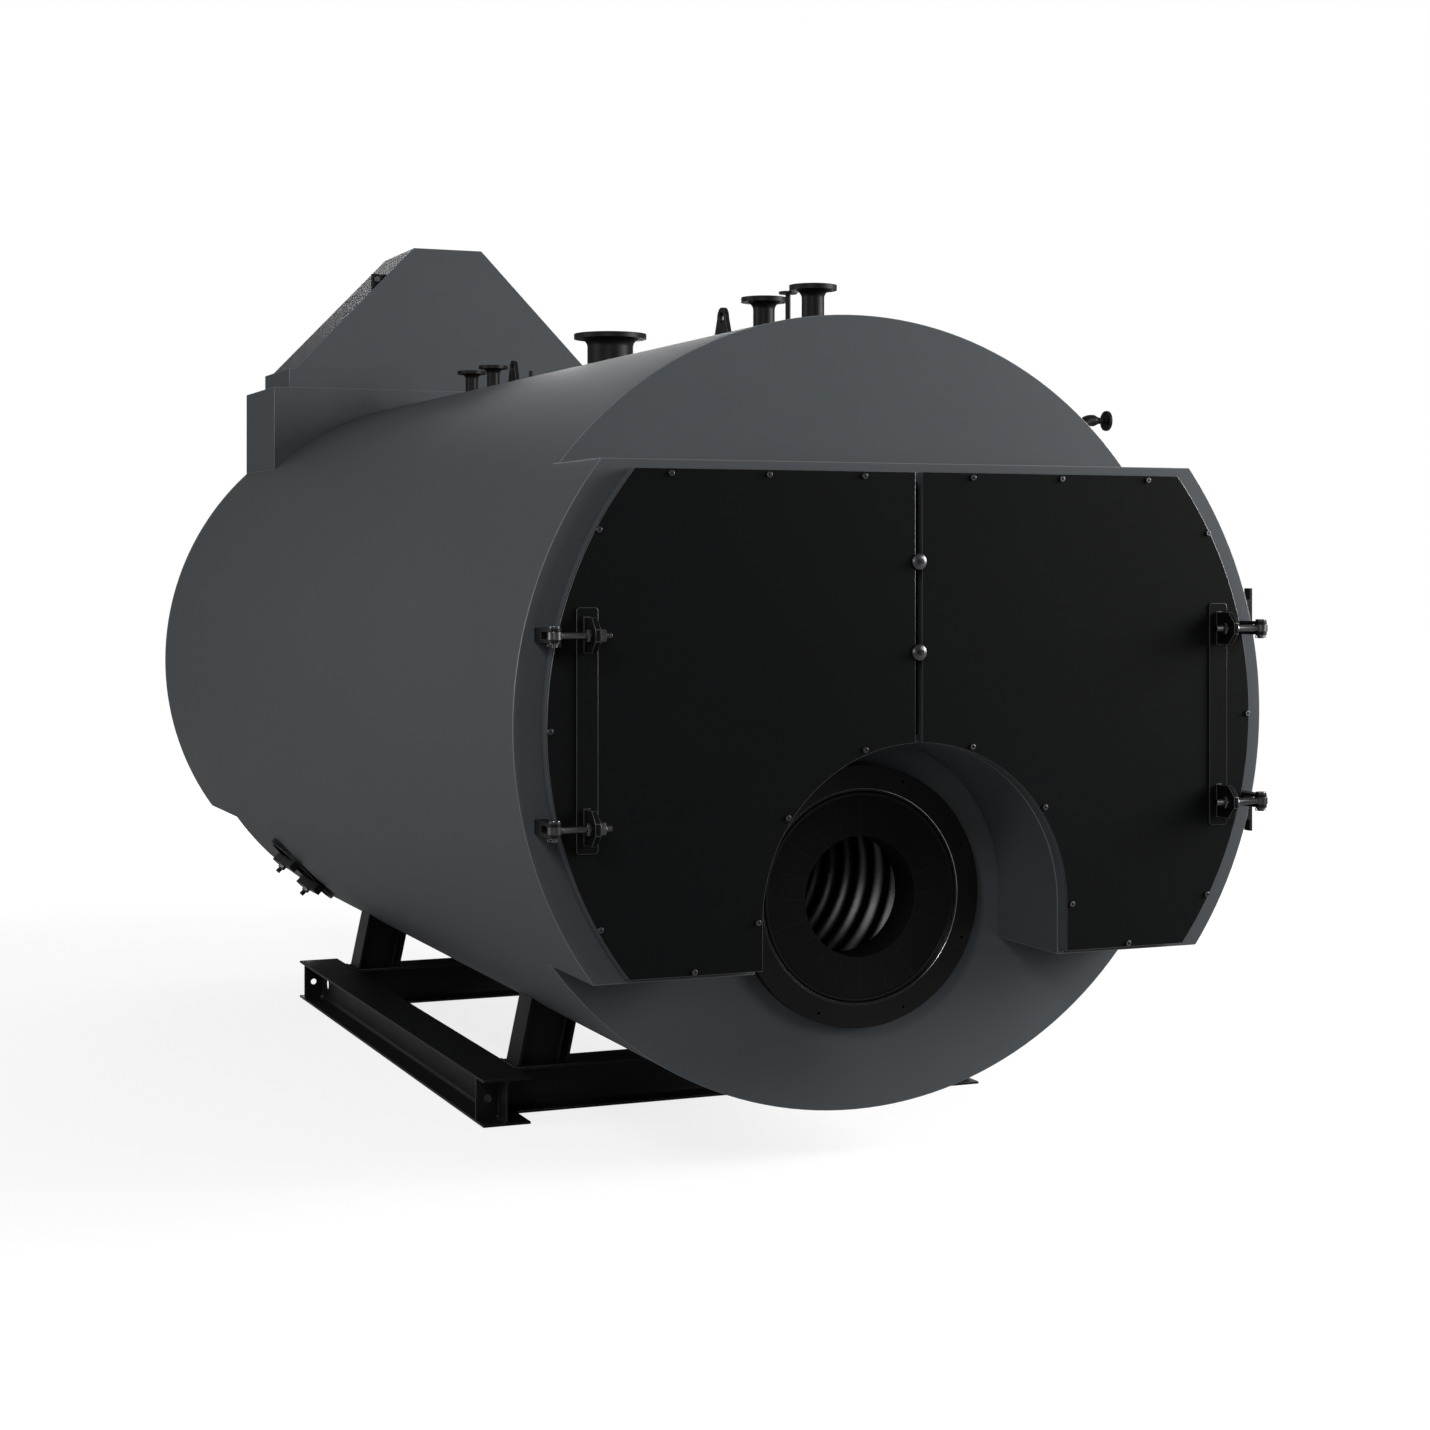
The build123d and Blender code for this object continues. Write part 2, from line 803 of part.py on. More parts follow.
with BuildPart() as flue_outlet:
    with BuildSketch(facing_front(hood_back_y + flue_length)):
        with Locations((0, flue_height)):
            Circle(flue_radius + flue_wall)
            Circle(flue_radius, mode=Mode.SUBTRACT)
    extrude(amount=flue_length)
    with BuildSketch(facing_front(hood_back_y + flue_length)):
        with Locations((0, flue_height)):
            Circle(flue_flange_radius)
            Circle(flue_radius, mode=Mode.SUBTRACT)
    extrude(amount=flue_flange_thickness)
save(flue_outlet.part, "flue_outlet")

# Lifting lugs on the hood's slopes: upright plates, at the front left and the rear right
slope_run = slope_foot_half_width - ridge_half_width
lug_x = slope_foot_half_width - hood_lug_place_share * slope_run
lug_z = shoulder_top + hood_lug_place_share * slope_height
lug_drop = hood_lug_width * slope_height / slope_run
lug_planes = {
    -1: hood_front_y + hood_lug_inset + hood_lug_thickness,
    1: hood_back_y - hood_lug_inset,
}
with BuildPart() as hood_lugs:
    for side, y in lug_planes.items():
        with BuildSketch(facing_front(y)):
            with BuildLine():
                Polyline(
                    (side * lug_x, lug_z),
                    (side * (lug_x + hood_lug_width), lug_z),
                    (side * (lug_x + hood_lug_width), lug_z - lug_drop),
                    close=True,
                )
            make_face()
            with Locations((side * (lug_x + 2 * hood_lug_width / 3), lug_z - lug_drop / 3)):
                Circle(hood_lug_hole / 2, mode=Mode.SUBTRACT)
        extrude(amount=hood_lug_thickness)
save(hood_lugs.part, "hood_lugs")


# Flanged nozzles along the top
def nozzle_outline(top, flange_diameter, thickness, pipe_diameter, bore_diameter):
    """Half the section of a weld-neck flange on its pipe, closed by a floor over the shell's crown."""
    floor = shell_radius + nozzle_floor
    return [
        (0, jacket_inner_radius),
        (pipe_diameter / 2, jacket_inner_radius),
        (pipe_diameter / 2, top - thickness),
        (flange_diameter / 2, top - thickness),
        (flange_diameter / 2, top),
        (bore_diameter / 2, top),
        (bore_diameter / 2, floor),
        (0, floor),
    ]


def make_nozzles(places, rise, flange, thickness, pipe, bore, hole_circle, hole_count, hole):
    """Nozzles on the shell's crown, each with its ring of bolt holes."""
    top = shell_radius + rise
    with BuildPart() as nozzles:
        for y in places:
            with BuildSketch(facing_front(y)) as half:
                with BuildLine():
                    Polyline(*nozzle_outline(top, flange, thickness, pipe, bore), close=True)
                make_face()
                under_flange = half.vertices().sort_by_distance((pipe / 2, top - thickness, 0))[0]
                fillet(under_flange, hub_fillet_share * (flange - pipe) / 2)
            revolve(axis=Axis((0, y, 0), (0, 0, 1)))
            with BuildSketch(Plane.XY.offset(axis_height + top)):
                with Locations((0, y)):
                    with PolarLocations(hole_circle / 2, hole_count, start_angle=180 / hole_count):
                        Circle(hole / 2)
            extrude(amount=-thickness, mode=Mode.SUBTRACT)
        cut_shell()
    return nozzles.part


steam_nozzle = make_nozzles(
    [cover_y + steam_nozzle_place],
    steam_nozzle_rise,
    steam_nozzle_flange,
    steam_nozzle_flange_thickness,
    steam_nozzle_pipe,
    steam_nozzle_bore,
    steam_nozzle_bolt_circle_diameter,
    steam_nozzle_bolt_count,
    steam_nozzle_bolt_hole,
)
save(steam_nozzle, "steam_nozzle")

front_nozzles = make_nozzles(
    [cover_y + place for place in front_nozzle_places],
    nozzle_rise,
    front_nozzle_flange,
    front_nozzle_flange_thickness,
    front_nozzle_pipe,
    front_nozzle_bore,
    front_nozzle_bolt_circle_diameter,
    front_nozzle_bolt_count,
    front_nozzle_bolt_hole,
)
save(front_nozzles, "front_nozzles")

rear_nozzles = make_nozzles(
    [shell_back_y - distance for distance in rear_nozzle_distances],
    nozzle_rise,
    rear_nozzle_flange,
    rear_nozzle_flange_thickness,
    rear_nozzle_pipe,
    rear_nozzle_bore,
    rear_nozzle_bolt_circle_diameter,
    rear_nozzle_bolt_count,
    rear_nozzle_bolt_hole,
)
save(rear_nozzles, "rear_nozzles")

# A thin vent pipe with a small flange, and a plain stub behind the steam nozzle
vent_y = cover_y + vent_place
rear_lug_y = shell_back_y - rear_lug_distance
stub_y = rear_lug_y - stub_lead
with BuildPart() as vent_pipes:
    with BuildSketch(Plane.XY.offset(axis_height + jacket_inner_radius)):
        with Locations((0, vent_y)):
            Circle(vent_pipe / 2)
    extrude(amount=jacket_wall + nozzle_rise)
    with BuildSketch(Plane.XY.offset(axis_height + shell_radius + nozzle_rise)):
        with Locations((0, vent_y)):
            Circle(vent_flange / 2)
    extrude(amount=-vent_flange_thickness)
    with BuildSketch(Plane.XY.offset(axis_height + jacket_inner_radius)):
        with Locations((0, stub_y)):
            Circle(stub_pipe / 2)
    extrude(amount=jacket_wall + stub_rise)
    cut_shell()
save(vent_pipes.part, "vent_pipes")

lug_eye_height = shell_radius + lug_rise - lug_nose_radius
with BuildPart() as lifting_lugs:
    for y in (cover_y + front_lug_place, rear_lug_y):
        with BuildSketch(facing_right(-lug_thickness / 2, y)):
            with BuildLine():
                Polyline(
                    (-lug_length / 2, jacket_inner_radius),
                    (lug_length / 2, jacket_inner_radius),
                    (lug_length / 2, shell_radius),
                    (lug_nose_radius, lug_eye_height),
                    (-lug_nose_radius, lug_eye_height),
                    (-lug_length / 2, shell_radius),
                    close=True,
                )
            make_face()
            with Locations((0, lug_eye_height)):
                Circle(lug_nose_radius)
                Circle(lug_hole / 2, mode=Mode.SUBTRACT)
        extrude(amount=lug_thickness)
    cut_shell()
save(lifting_lugs.part, "lifting_lugs")

# Level connection: a riser from the shell, a bend, a reducer and its flange
side_pipe_x = side_pipe_x_share * shell_radius
side_pipe_foot = side_pipe_x / 2
side_y = cover_y + side_pipe_place
side_z = sqrt(shell_radius**2 - side_pipe_x**2) + side_pipe_rise + axis_height
reducer_x = side_pipe_x + side_elbow_radius + side_pipe_diameter / 4
neck_x = reducer_x + side_pipe_diameter / 2
with BuildPart() as side_connection:
    with BuildLine() as side_path:
        FilletPolyline(
            (side_pipe_x, side_y, axis_height + side_pipe_foot),
            (side_pipe_x, side_y, side_z),
            (reducer_x, side_y, side_z),
            radius=side_elbow_radius,
        )
    with BuildSketch(Plane.XY.offset(axis_height + side_pipe_foot)):
        with Locations((side_pipe_x, side_y)):
            Circle(side_pipe_diameter / 2)
    sweep(path=side_path.line)
    with BuildSketch(facing_right(reducer_x, side_y, side_z)):
        Circle(side_pipe_diameter / 2)
    with BuildSketch(facing_right(neck_x, side_y, side_z)):
        Circle(side_neck_diameter / 2)
    loft()
    with BuildSketch(facing_right(neck_x, side_y, side_z)):
        Circle(side_neck_diameter / 2)
    extrude(amount=side_pipe_x + side_flange_reach - neck_x)
    with BuildSketch(facing_right(side_pipe_x + side_flange_reach, side_y, side_z)):
        Circle(side_flange_diameter / 2)
    extrude(amount=-side_flange_thickness)
    cut_shell()
save(side_connection.part, "side_connection")

# Instrument rail on the right flank of the casing
rail_x = shell_radius + rail_stand
rail_y = cover_y - rail_place
with BuildPart() as side_rail:
    with BuildSketch(facing_right(rail_x, rail_y)):
        with Locations((0, (rail_top - rail_bottom) / 2)):
            Rectangle(rail_width, rail_top + rail_bottom)
    extrude(amount=rail_depth)
    with BuildSketch(facing_right(jacket_inner_radius, rail_y)):
        with Locations((0, rail_top - rail_arm_inset), (0, rail_arm_inset - rail_bottom)):
            Rectangle(rail_width, rail_arm_height)
    extrude(amount=rail_x - jacket_inner_radius)
    cut_shell()
save(side_rail.part, "side_rail")

# Manhole: an oval neck through the jacket, its cover, and the two bridges that clamp it
neck_depth = jacket_wall + manhole_proud
cover_face = neck_depth - manhole_cover_depth
with BuildPart() as manhole_neck:
    with BuildSketch(manhole_plane):
        Ellipse(neck_outer_x, neck_outer_y)
        Ellipse(manhole_width / 2, manhole_length / 2, mode=Mode.SUBTRACT)
    extrude(amount=neck_depth)
save(manhole_neck.part, "manhole_neck")

with BuildPart() as manhole_cover:
    with BuildSketch(manhole_plane.offset(cover_face)):
        Ellipse(manhole_width / 2, manhole_length / 2)
    extrude(amount=-manhole_cover_thickness)
save(manhole_cover.part, "manhole_cover")

with BuildPart() as manhole_bridges:
    for shift in (-bridge_spacing / 2, bridge_spacing / 2):
        with BuildSketch(manhole_plane.offset(neck_depth)):
            with Locations((0, shift)):
                Rectangle(bridge_length, bridge_width)
        extrude(amount=bridge_height)
        with BuildSketch(manhole_plane.offset(cover_face)):
            with Locations((0, shift)):
                Circle(bridge_stud_diameter / 2)
        extrude(amount=bridge_stud_length)
save(manhole_bridges.part, "manhole_bridges")

# Base frame: two long beams with holes in their webs, and two cross beams between them
beam_size = (beam_height, beam_width, beam_web, beam_flange, beam_root)
beam_middle_x = beam_half_spread - beam_width / 2
beam_back_y = cross_beam_pitch + beam_rear_reach
beam_hole_places = (beam_hole_inset - beam_front_reach, beam_back_y - beam_hole_inset)
cross_beams = {"front": 0, "rear": cross_beam_pitch}

for side_name, side in sides.items():
    with BuildPart() as base_beam:
        with BuildSketch(facing_front(beam_back_y, beam_height / 2, side * beam_middle_x)) as profile:
            add_h_section(profile, *beam_size)
        extrude(amount=beam_back_y + beam_front_reach)
        for y in beam_hole_places:
            with BuildSketch(facing_right(0, y, beam_height / 2)):
                Circle(beam_hole / 2)
            extrude(amount=side * beam_half_spread, mode=Mode.SUBTRACT)
    save(base_beam.part, f"base_beam_{side_name}")

# Each cross beam butts against the long beams' flanges, with its web running on to their webs
cross_half_length = beam_half_spread - beam_width
web_face_x = beam_middle_x - beam_web / 2
for end_name, y in cross_beams.items():
    with BuildPart() as cross_beam:
        with BuildSketch(facing_right(-cross_half_length, y, beam_height / 2)) as profile:
            add_h_section(profile, *beam_size)
        extrude(amount=2 * cross_half_length)
        with BuildSketch(facing_right(-web_face_x, y, beam_height / 2)):
            Rectangle(beam_web, beam_height - 2 * beam_flange - 2 * beam_root)
        extrude(amount=2 * web_face_x)
    save(cross_beam.part, f"cross_beam_{end_name}")

# Stiffeners stand in the outer channels of the long beams, snipped to clear the rolled root
outer_face_x = beam_middle_x + beam_web / 2
stiffener_half_height = beam_height / 2 - beam_flange
with BuildPart() as beam_stiffeners:
    for side in sides.values():
        for y in (stiffener_inset - beam_front_reach, beam_back_y - stiffener_inset):
            with BuildSketch(facing_front(y + stiffener_thickness / 2, beam_height / 2)):
                with BuildLine():
                    Polyline(
                        (side * beam_half_spread, stiffener_half_height),
                        (side * (outer_face_x + beam_root), stiffener_half_height),
                        (side * outer_face_x, stiffener_half_height - beam_root),
                        (side * outer_face_x, beam_root - stiffener_half_height),
                        (side * (outer_face_x + beam_root), -stiffener_half_height),
                        (side * beam_half_spread, -stiffener_half_height),
                        close=True,
                    )
                make_face()
                with Locations((side * (beam_half_spread + outer_face_x) / 2, 0)):
                    Circle(stiffener_hole / 2, mode=Mode.SUBTRACT)
            extrude(amount=stiffener_thickness)
save(beam_stiffeners.part, "beam_stiffeners")

# Legs: H sections that lean inwards from the cross beams to the shell
lean = radians(leg_lean)
leg_outer_x = beam_half_spread - beam_width - leg_beam_gap
leg_middle_x = leg_outer_x - leg_depth / cos(lean) / 2
for end_name, y in cross_beams.items():
    with BuildPart() as legs:
        for side in sides.values():
            foot = Plane(
                origin=(side * leg_middle_x, y, beam_height),
                x_dir=(0, 1, 0),
                z_dir=(-side * sin(lean), 0, cos(lean)),
            )
            with BuildSketch(foot.offset(-leg_depth)) as profile:
                add_h_section(profile, leg_depth, leg_width, leg_web, leg_flange, leg_root)
            extrude(amount=leg_depth + axis_height - beam_height)
        with Locations((0, y, beam_height)):
            Box(
                4 * shell_radius,
                2 * leg_width,
                2 * leg_depth,
                align=(Align.CENTER, Align.CENTER, Align.MAX),
                mode=Mode.SUBTRACT,
            )
        cut_shell()
    save(legs.part, f"legs_{end_name}")
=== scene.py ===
# %% [markdown]
# This lesson dresses a large three-pass shell boiler: a slate-grey, powder-coated jacket on a black
# base of steel beams, with two black doors in front and a grey flue hood at the rear. The solids come
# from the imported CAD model, at their real size and in metres, with +X to the right, +Y to the rear
# and +Z up. The CAD model has exact sizes but plain meshes and plain colours, so each step takes a
# piece, gives its edges the small radius that catches the light, and gives its surface a finish.

# %% Load the frame
import math

import bmesh
import bpy
from mathutils import Matrix, Vector
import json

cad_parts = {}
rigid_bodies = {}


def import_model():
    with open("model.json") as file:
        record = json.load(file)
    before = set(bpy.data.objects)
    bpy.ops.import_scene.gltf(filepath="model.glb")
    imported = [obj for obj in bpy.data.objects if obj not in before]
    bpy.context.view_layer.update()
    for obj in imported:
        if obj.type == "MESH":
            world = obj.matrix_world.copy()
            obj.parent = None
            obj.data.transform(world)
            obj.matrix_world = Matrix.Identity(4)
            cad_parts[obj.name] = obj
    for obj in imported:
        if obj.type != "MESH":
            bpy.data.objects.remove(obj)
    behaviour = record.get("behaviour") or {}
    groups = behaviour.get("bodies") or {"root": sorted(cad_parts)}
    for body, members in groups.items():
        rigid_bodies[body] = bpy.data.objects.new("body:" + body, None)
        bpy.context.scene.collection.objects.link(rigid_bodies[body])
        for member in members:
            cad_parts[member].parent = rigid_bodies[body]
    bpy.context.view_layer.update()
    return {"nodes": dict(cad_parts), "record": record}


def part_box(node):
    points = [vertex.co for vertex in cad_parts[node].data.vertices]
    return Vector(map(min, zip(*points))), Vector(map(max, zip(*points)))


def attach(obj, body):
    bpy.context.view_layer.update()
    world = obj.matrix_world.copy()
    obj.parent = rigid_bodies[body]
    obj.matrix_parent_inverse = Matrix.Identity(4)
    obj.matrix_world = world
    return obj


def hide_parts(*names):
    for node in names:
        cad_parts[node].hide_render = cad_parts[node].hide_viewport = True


for stray in list(bpy.data.objects):
    bpy.data.objects.remove(stray)
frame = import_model()

# %% [markdown]
# Most places in this lesson are worked out from the CAD pieces. The jacket gives the round of the
# shell, the throat gives the burner's axis, and the door sheets give the plane that the screws and
# knobs sit on. Sizes that a piece's box doesn't tell, such as a bore, are named where they are used.

# %% Read the main places from the frame
jacket_low, jacket_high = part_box("shell_jacket")
shell_radius = (jacket_high[0] - jacket_low[0]) / 2
shell_axis_z = (jacket_high[2] + jacket_low[2]) / 2
shell_back_y = jacket_high[1]
cover_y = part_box("front_cover_upper")[0][1]
casing_front_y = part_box("front_casing")[0][1]
sheet_front_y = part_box("door_left_sheet")[0][1]
leaf_low_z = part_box("door_left_sheet")[0][2]
leaf_high_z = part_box("door_left_sheet")[1][2]
leaf_radius = -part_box("door_left_sheet")[0][0]
throat_low, throat_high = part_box("refractory_throat")
burner_z = (throat_low[2] + throat_high[2]) / 2
tube_low, tube_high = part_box("flame_tube")
leaves = {"left": -1, "right": 1}
print("Shell radius", round(shell_radius, 3), "burner axis", round(burner_z, 3))

# %% [markdown]
# The camera comes first, because it decides how much detail a piece needs. The boiler was seen from
# the front left, from a little over two metres up, with the camera held level: so the view is turned
# about the upright axis alone, and a vertical shift slides the horizon to where it was.

# %% Camera at the viewing angle
CAMERA_PLACE = (-4.047, -9.8445, 2.2575)
CAMERA_TURN_DEG = -22.37
CAMERA_LENS_MM = 62.27
CAMERA_SENSOR_MM = 36
CAMERA_SHIFT_Y = -0.104
CAMERA_CLIP_END = 200


def add_object(name, data):
    """A new object, placed in the scene."""
    made = bpy.data.objects.new(name, data)
    bpy.context.scene.collection.objects.link(made)
    return made


camera_data = bpy.data.cameras.new("camera")
camera_data.lens = CAMERA_LENS_MM
camera_data.sensor_width = CAMERA_SENSOR_MM
camera_data.shift_y = CAMERA_SHIFT_Y
camera_data.clip_end = CAMERA_CLIP_END
camera = add_object("camera", camera_data)
camera.location = CAMERA_PLACE
camera.rotation_euler = (math.radians(90), 0, math.radians(CAMERA_TURN_DEG))
bpy.context.scene.camera = camera
bpy.context.scene.view_settings.view_transform = "Standard"

# %% [markdown]
# Materials, the world and the floor are all node trees, so the few nodes that they share come from
# helpers. One feeds a node's inputs. Three make a Math node, a mix of two colours and a change of
# range. The last one tells which rays show the white background. Gloss and metal show it too, but
# dimmed: seen along its flank, the boiler's paint reflects a great deal, and in a real studio it
# would mostly reflect dark walls.

# %% Node helpers
def feed(tree, node, values):
    """Feeds a node's inputs: a socket is linked, and anything else is set as the value."""
    for label, value in values.items():
        if isinstance(value, bpy.types.NodeSocket):
            tree.links.new(value, node.inputs[label])
        else:
            node.inputs[label].default_value = value


def math_node(tree, operation, first, second=0.0, clamp=False):
    """One Math node; first and second are sockets or numbers."""
    node = tree.nodes.new("ShaderNodeMath")
    node.operation = operation
    node.use_clamp = clamp
    feed(tree, node, {0: first, 1: second})
    return node.outputs["Value"]


def mixed(tree, factor, first, second):
    """Mixes two colours; each is a socket or a colour."""
    node = tree.nodes.new("ShaderNodeMix")
    node.data_type = "RGBA"
    ends = [(*end, 1) if isinstance(end, tuple) else end for end in (first, second)]
    feed(tree, node, {"Factor": factor, "A": ends[0], "B": ends[1]})
    return node.outputs["Result"]


def ranged(tree, value, low, high, start=0.25, end=0.75):
    """Maps the range from start to end onto the one from low to high, and holds it there."""
    node = tree.nodes.new("ShaderNodeMapRange")
    feed(tree, node, {
        "Value": value, "From Min": start, "From Max": end, "To Min": low, "To Max": high,
    })
    return node.outputs["Result"]


GLOSS_SHARE = 0.25


def rays_to_the_eye(tree):
    """A mask of the rays that show a background: straight ones, through glass, and off gloss."""
    path = tree.nodes.new("ShaderNodeLightPath")
    gloss = math_node(tree, "MULTIPLY", path.outputs["Is Glossy Ray"], GLOSS_SHARE)
    seen = math_node(
        tree, "MAXIMUM", path.outputs["Is Camera Ray"], path.outputs["Is Transmission Ray"]
    )
    return math_node(tree, "MAXIMUM", seen, gloss)


# %% [markdown]
# A product studio is a few large, soft lamps around the object. Large lamps matter twice on satin
# paint: they light it evenly, and they are what its wide, dull reflections show. The key lamp stands
# high at the front left, and its shadows fall down to the right. Two stand out to the right and
# give the front its slow gradient, and a broad one fills the left flank. The one behind the boiler
# shines along the shell and makes the bright band on its crown. The world is white through Light
# Path alone, so the object isn't lit more for it.

# %% Lamps and world
LAMPS = {
    "key_left": {"place": (-6.5, -8.0, 7.5), "size": (2.2, 2.2), "watts": 370},
    "front_left": {"place": (-5.5, -11.5, 4.0), "size": (3, 3), "watts": 150},
    "front_right": {"place": (7.0, -7.0, 4.0), "size": (4, 5), "watts": 420},
    "right_side": {"place": (8.5, -4.0, 4.5), "size": (3, 4), "watts": 850},
    "left_flank": {"place": (-10.5, 1.5, 3.0), "size": (6, 4), "watts": 370},
    "rear": {"place": (3.4, 12.5, 4.8), "size": (5.8, 5), "watts": 690},
}
LAMP_AIM = Vector((0, 1.0, 1.7))
WORLD_GREY = 0.06


def add_lamp(name, place, size, watts):
    """A rectangular soft lamp that faces the middle of the boiler."""
    data = bpy.data.lights.new(name, "AREA")
    data.shape = "RECTANGLE"
    data.size, data.size_y = size
    data.energy = watts
    lamp = add_object(name, data)
    lamp.location = place
    lamp.rotation_euler = (LAMP_AIM - Vector(place)).to_track_quat("-Z", "Y").to_euler()


for lamp_name, lamp in LAMPS.items():
    add_lamp(lamp_name, **lamp)

world = bpy.data.worlds.new("studio")
world.use_nodes = True
bpy.context.scene.world = world
sky = world.node_tree
sky_colour = mixed(sky, rays_to_the_eye(sky), (WORLD_GREY,) * 3, (1.0, 1.0, 1.0))
feed(sky, sky.nodes["Background"], {"Color": sky_colour})
print("Lamps:", ", ".join(LAMPS))

# %% [markdown]
# The floor is white for the camera, but it keeps the boiler's soft shadow. So it is a dull grey that
# takes the shadow, with emission on top for the rays that reach the eye: full light adds up to
# white, and what lies in shadow stays a little under it. Far out, where the lamps don't reach, the
# emission alone goes up to white, so that no horizon shows.

# %% Floor
FLOOR_HALF = 60
FLOOR_ALBEDO = 0.3
FLOOR_ROUGHNESS = 0.9
FLOOR_LIFT_NEAR = 0.8
FLOOR_FADE_FROM = 6.0
FLOOR_FADE_TO = 13.0

floor_bm = bmesh.new()
bmesh.ops.create_grid(floor_bm, x_segments=1, y_segments=1, size=FLOOR_HALF)
floor_mesh = bpy.data.meshes.new("floor")
floor_bm.to_mesh(floor_mesh)
floor_bm.free()
floor = add_object("floor", floor_mesh)

floor_paint = bpy.data.materials.new("floor_white")
floor_paint.use_nodes = True
floor_tree = floor_paint.node_tree
floor_place = floor_tree.nodes.new("ShaderNodeTexCoord")
floor_reach = floor_tree.nodes.new("ShaderNodeVectorMath")
floor_reach.operation = "LENGTH"
feed(floor_tree, floor_reach, {0: floor_place.outputs["Object"]})
floor_fade = ranged(
    floor_tree, floor_reach.outputs["Value"], FLOOR_LIFT_NEAR, 1.0, FLOOR_FADE_FROM, FLOOR_FADE_TO
)
feed(floor_tree, floor_tree.nodes["Principled BSDF"], {
    "Base Color": (FLOOR_ALBEDO,) * 3 + (1,),
    "Roughness": FLOOR_ROUGHNESS,
    "Specular IOR Level": 0.0,
    "Emission Color": (1, 1, 1, 1),
    "Emission Strength": math_node(floor_tree, "MULTIPLY", rays_to_the_eye(floor_tree), floor_fade),
})
floor.data.materials.append(floor_paint)

# %% [markdown]
# Three effects are used by every finish, so each is a node group that is built once. Powder coat has
# an orange-peel texture a few millimetres wide and a far finer grain. Wide, slow drifts of tone keep
# a large sheet from looking printed. Dust settles on what faces up.

# %% Shared node groups
def new_group(name, inputs, outputs):
    """A shader node group with float inputs and outputs, and its two end nodes."""
    group = bpy.data.node_groups.new(name, "ShaderNodeTree")
    for label, value in inputs.items():
        socket = group.interface.new_socket(label, in_out="INPUT", socket_type="NodeSocketFloat")
        socket.default_value = value
    for label in outputs:
        group.interface.new_socket(label, in_out="OUTPUT", socket_type="NodeSocketFloat")
    start = group.nodes.new("NodeGroupInput")
    end = group.nodes.new("NodeGroupOutput")
    return group, start, end


def noise(group, scale, detail, roughness=0.5, distortion=0.0):
    """A noise texture on Object coordinates; scale is in cycles a metre, or a socket."""
    place = group.nodes.new("ShaderNodeTexCoord")
    node = group.nodes.new("ShaderNodeTexNoise")
    feed(group, node, {
        "Vector": place.outputs["Object"], "Scale": scale, "Detail": detail,
        "Roughness": roughness, "Distortion": distortion,
    })
    return node.outputs["Fac"]


def build_powder_coat():
    """Height of the orange peel and the grain, and a mask of the grain for the colour."""
    group, start, end = new_group(
        "powder_coat",
        {"Peel size": 160.0, "Grain size": 1400.0, "Grain share": 0.35},
        ("Height", "Grain"),
    )
    peel = noise(group, start.outputs["Peel size"], 2)
    grain = noise(group, start.outputs["Grain size"], 3, 0.65)
    fine = math_node(group, "MULTIPLY", grain, start.outputs["Grain share"])
    total = math_node(group, "ADD", peel, fine)
    feed(group, end, {"Height": total, "Grain": grain})
    return group


def build_tone_drift():
    """A slow, wide variation around 0.5, with soft clouds about a metre across."""
    group, start, end = new_group("tone_drift", {"Cloud size": 0.7}, ("Drift",))
    clouds = noise(group, start.outputs["Cloud size"], 4, 0.55, 0.4)
    feed(group, end, {"Drift": clouds})
    return group


def build_settled_dust():
    """A mask of the dust that lies on upward faces, broken up by noise."""
    group, start, end = new_group("settled_dust", {"Amount": 0.5, "Speck size": 9.0}, ("Dust",))
    normal = group.nodes.new("ShaderNodeNewGeometry")
    split = group.nodes.new("ShaderNodeSeparateXYZ")
    feed(group, split, {"Vector": normal.outputs["Normal"]})
    up = math_node(group, "POWER", math_node(group, "MAXIMUM", split.outputs["Z"], 0), 2.5)
    patches = noise(group, start.outputs["Speck size"], 6, 0.7)
    broken = math_node(group, "MULTIPLY", up, patches)
    dust = math_node(group, "MULTIPLY", broken, start.outputs["Amount"], clamp=True)
    feed(group, end, {"Dust": dust})
    return group


powder_coat = build_powder_coat()
tone_drift = build_tone_drift()
settled_dust = build_settled_dust()
print("Shared groups:", [group.name for group in bpy.data.node_groups])

# %% [markdown]
# A finish is a Principled shader fed by those groups. The drift moves the colour a little either way
# of its mean, the dust mixes in a pale grey and dulls it, and the peel goes into a Bump node whose
# distance is a real depth in metres.

# %% Build a finish from the groups
DUST_COLOUR = (0.15, 0.155, 0.16)
DUST_DULLS = 0.5
BUMP_STRENGTH = 0.6


def group_node(tree, group, values):
    """A node that uses a shared group with values of its own."""
    node = tree.nodes.new("ShaderNodeGroup")
    node.node_tree = group
    feed(tree, node, values)
    return node


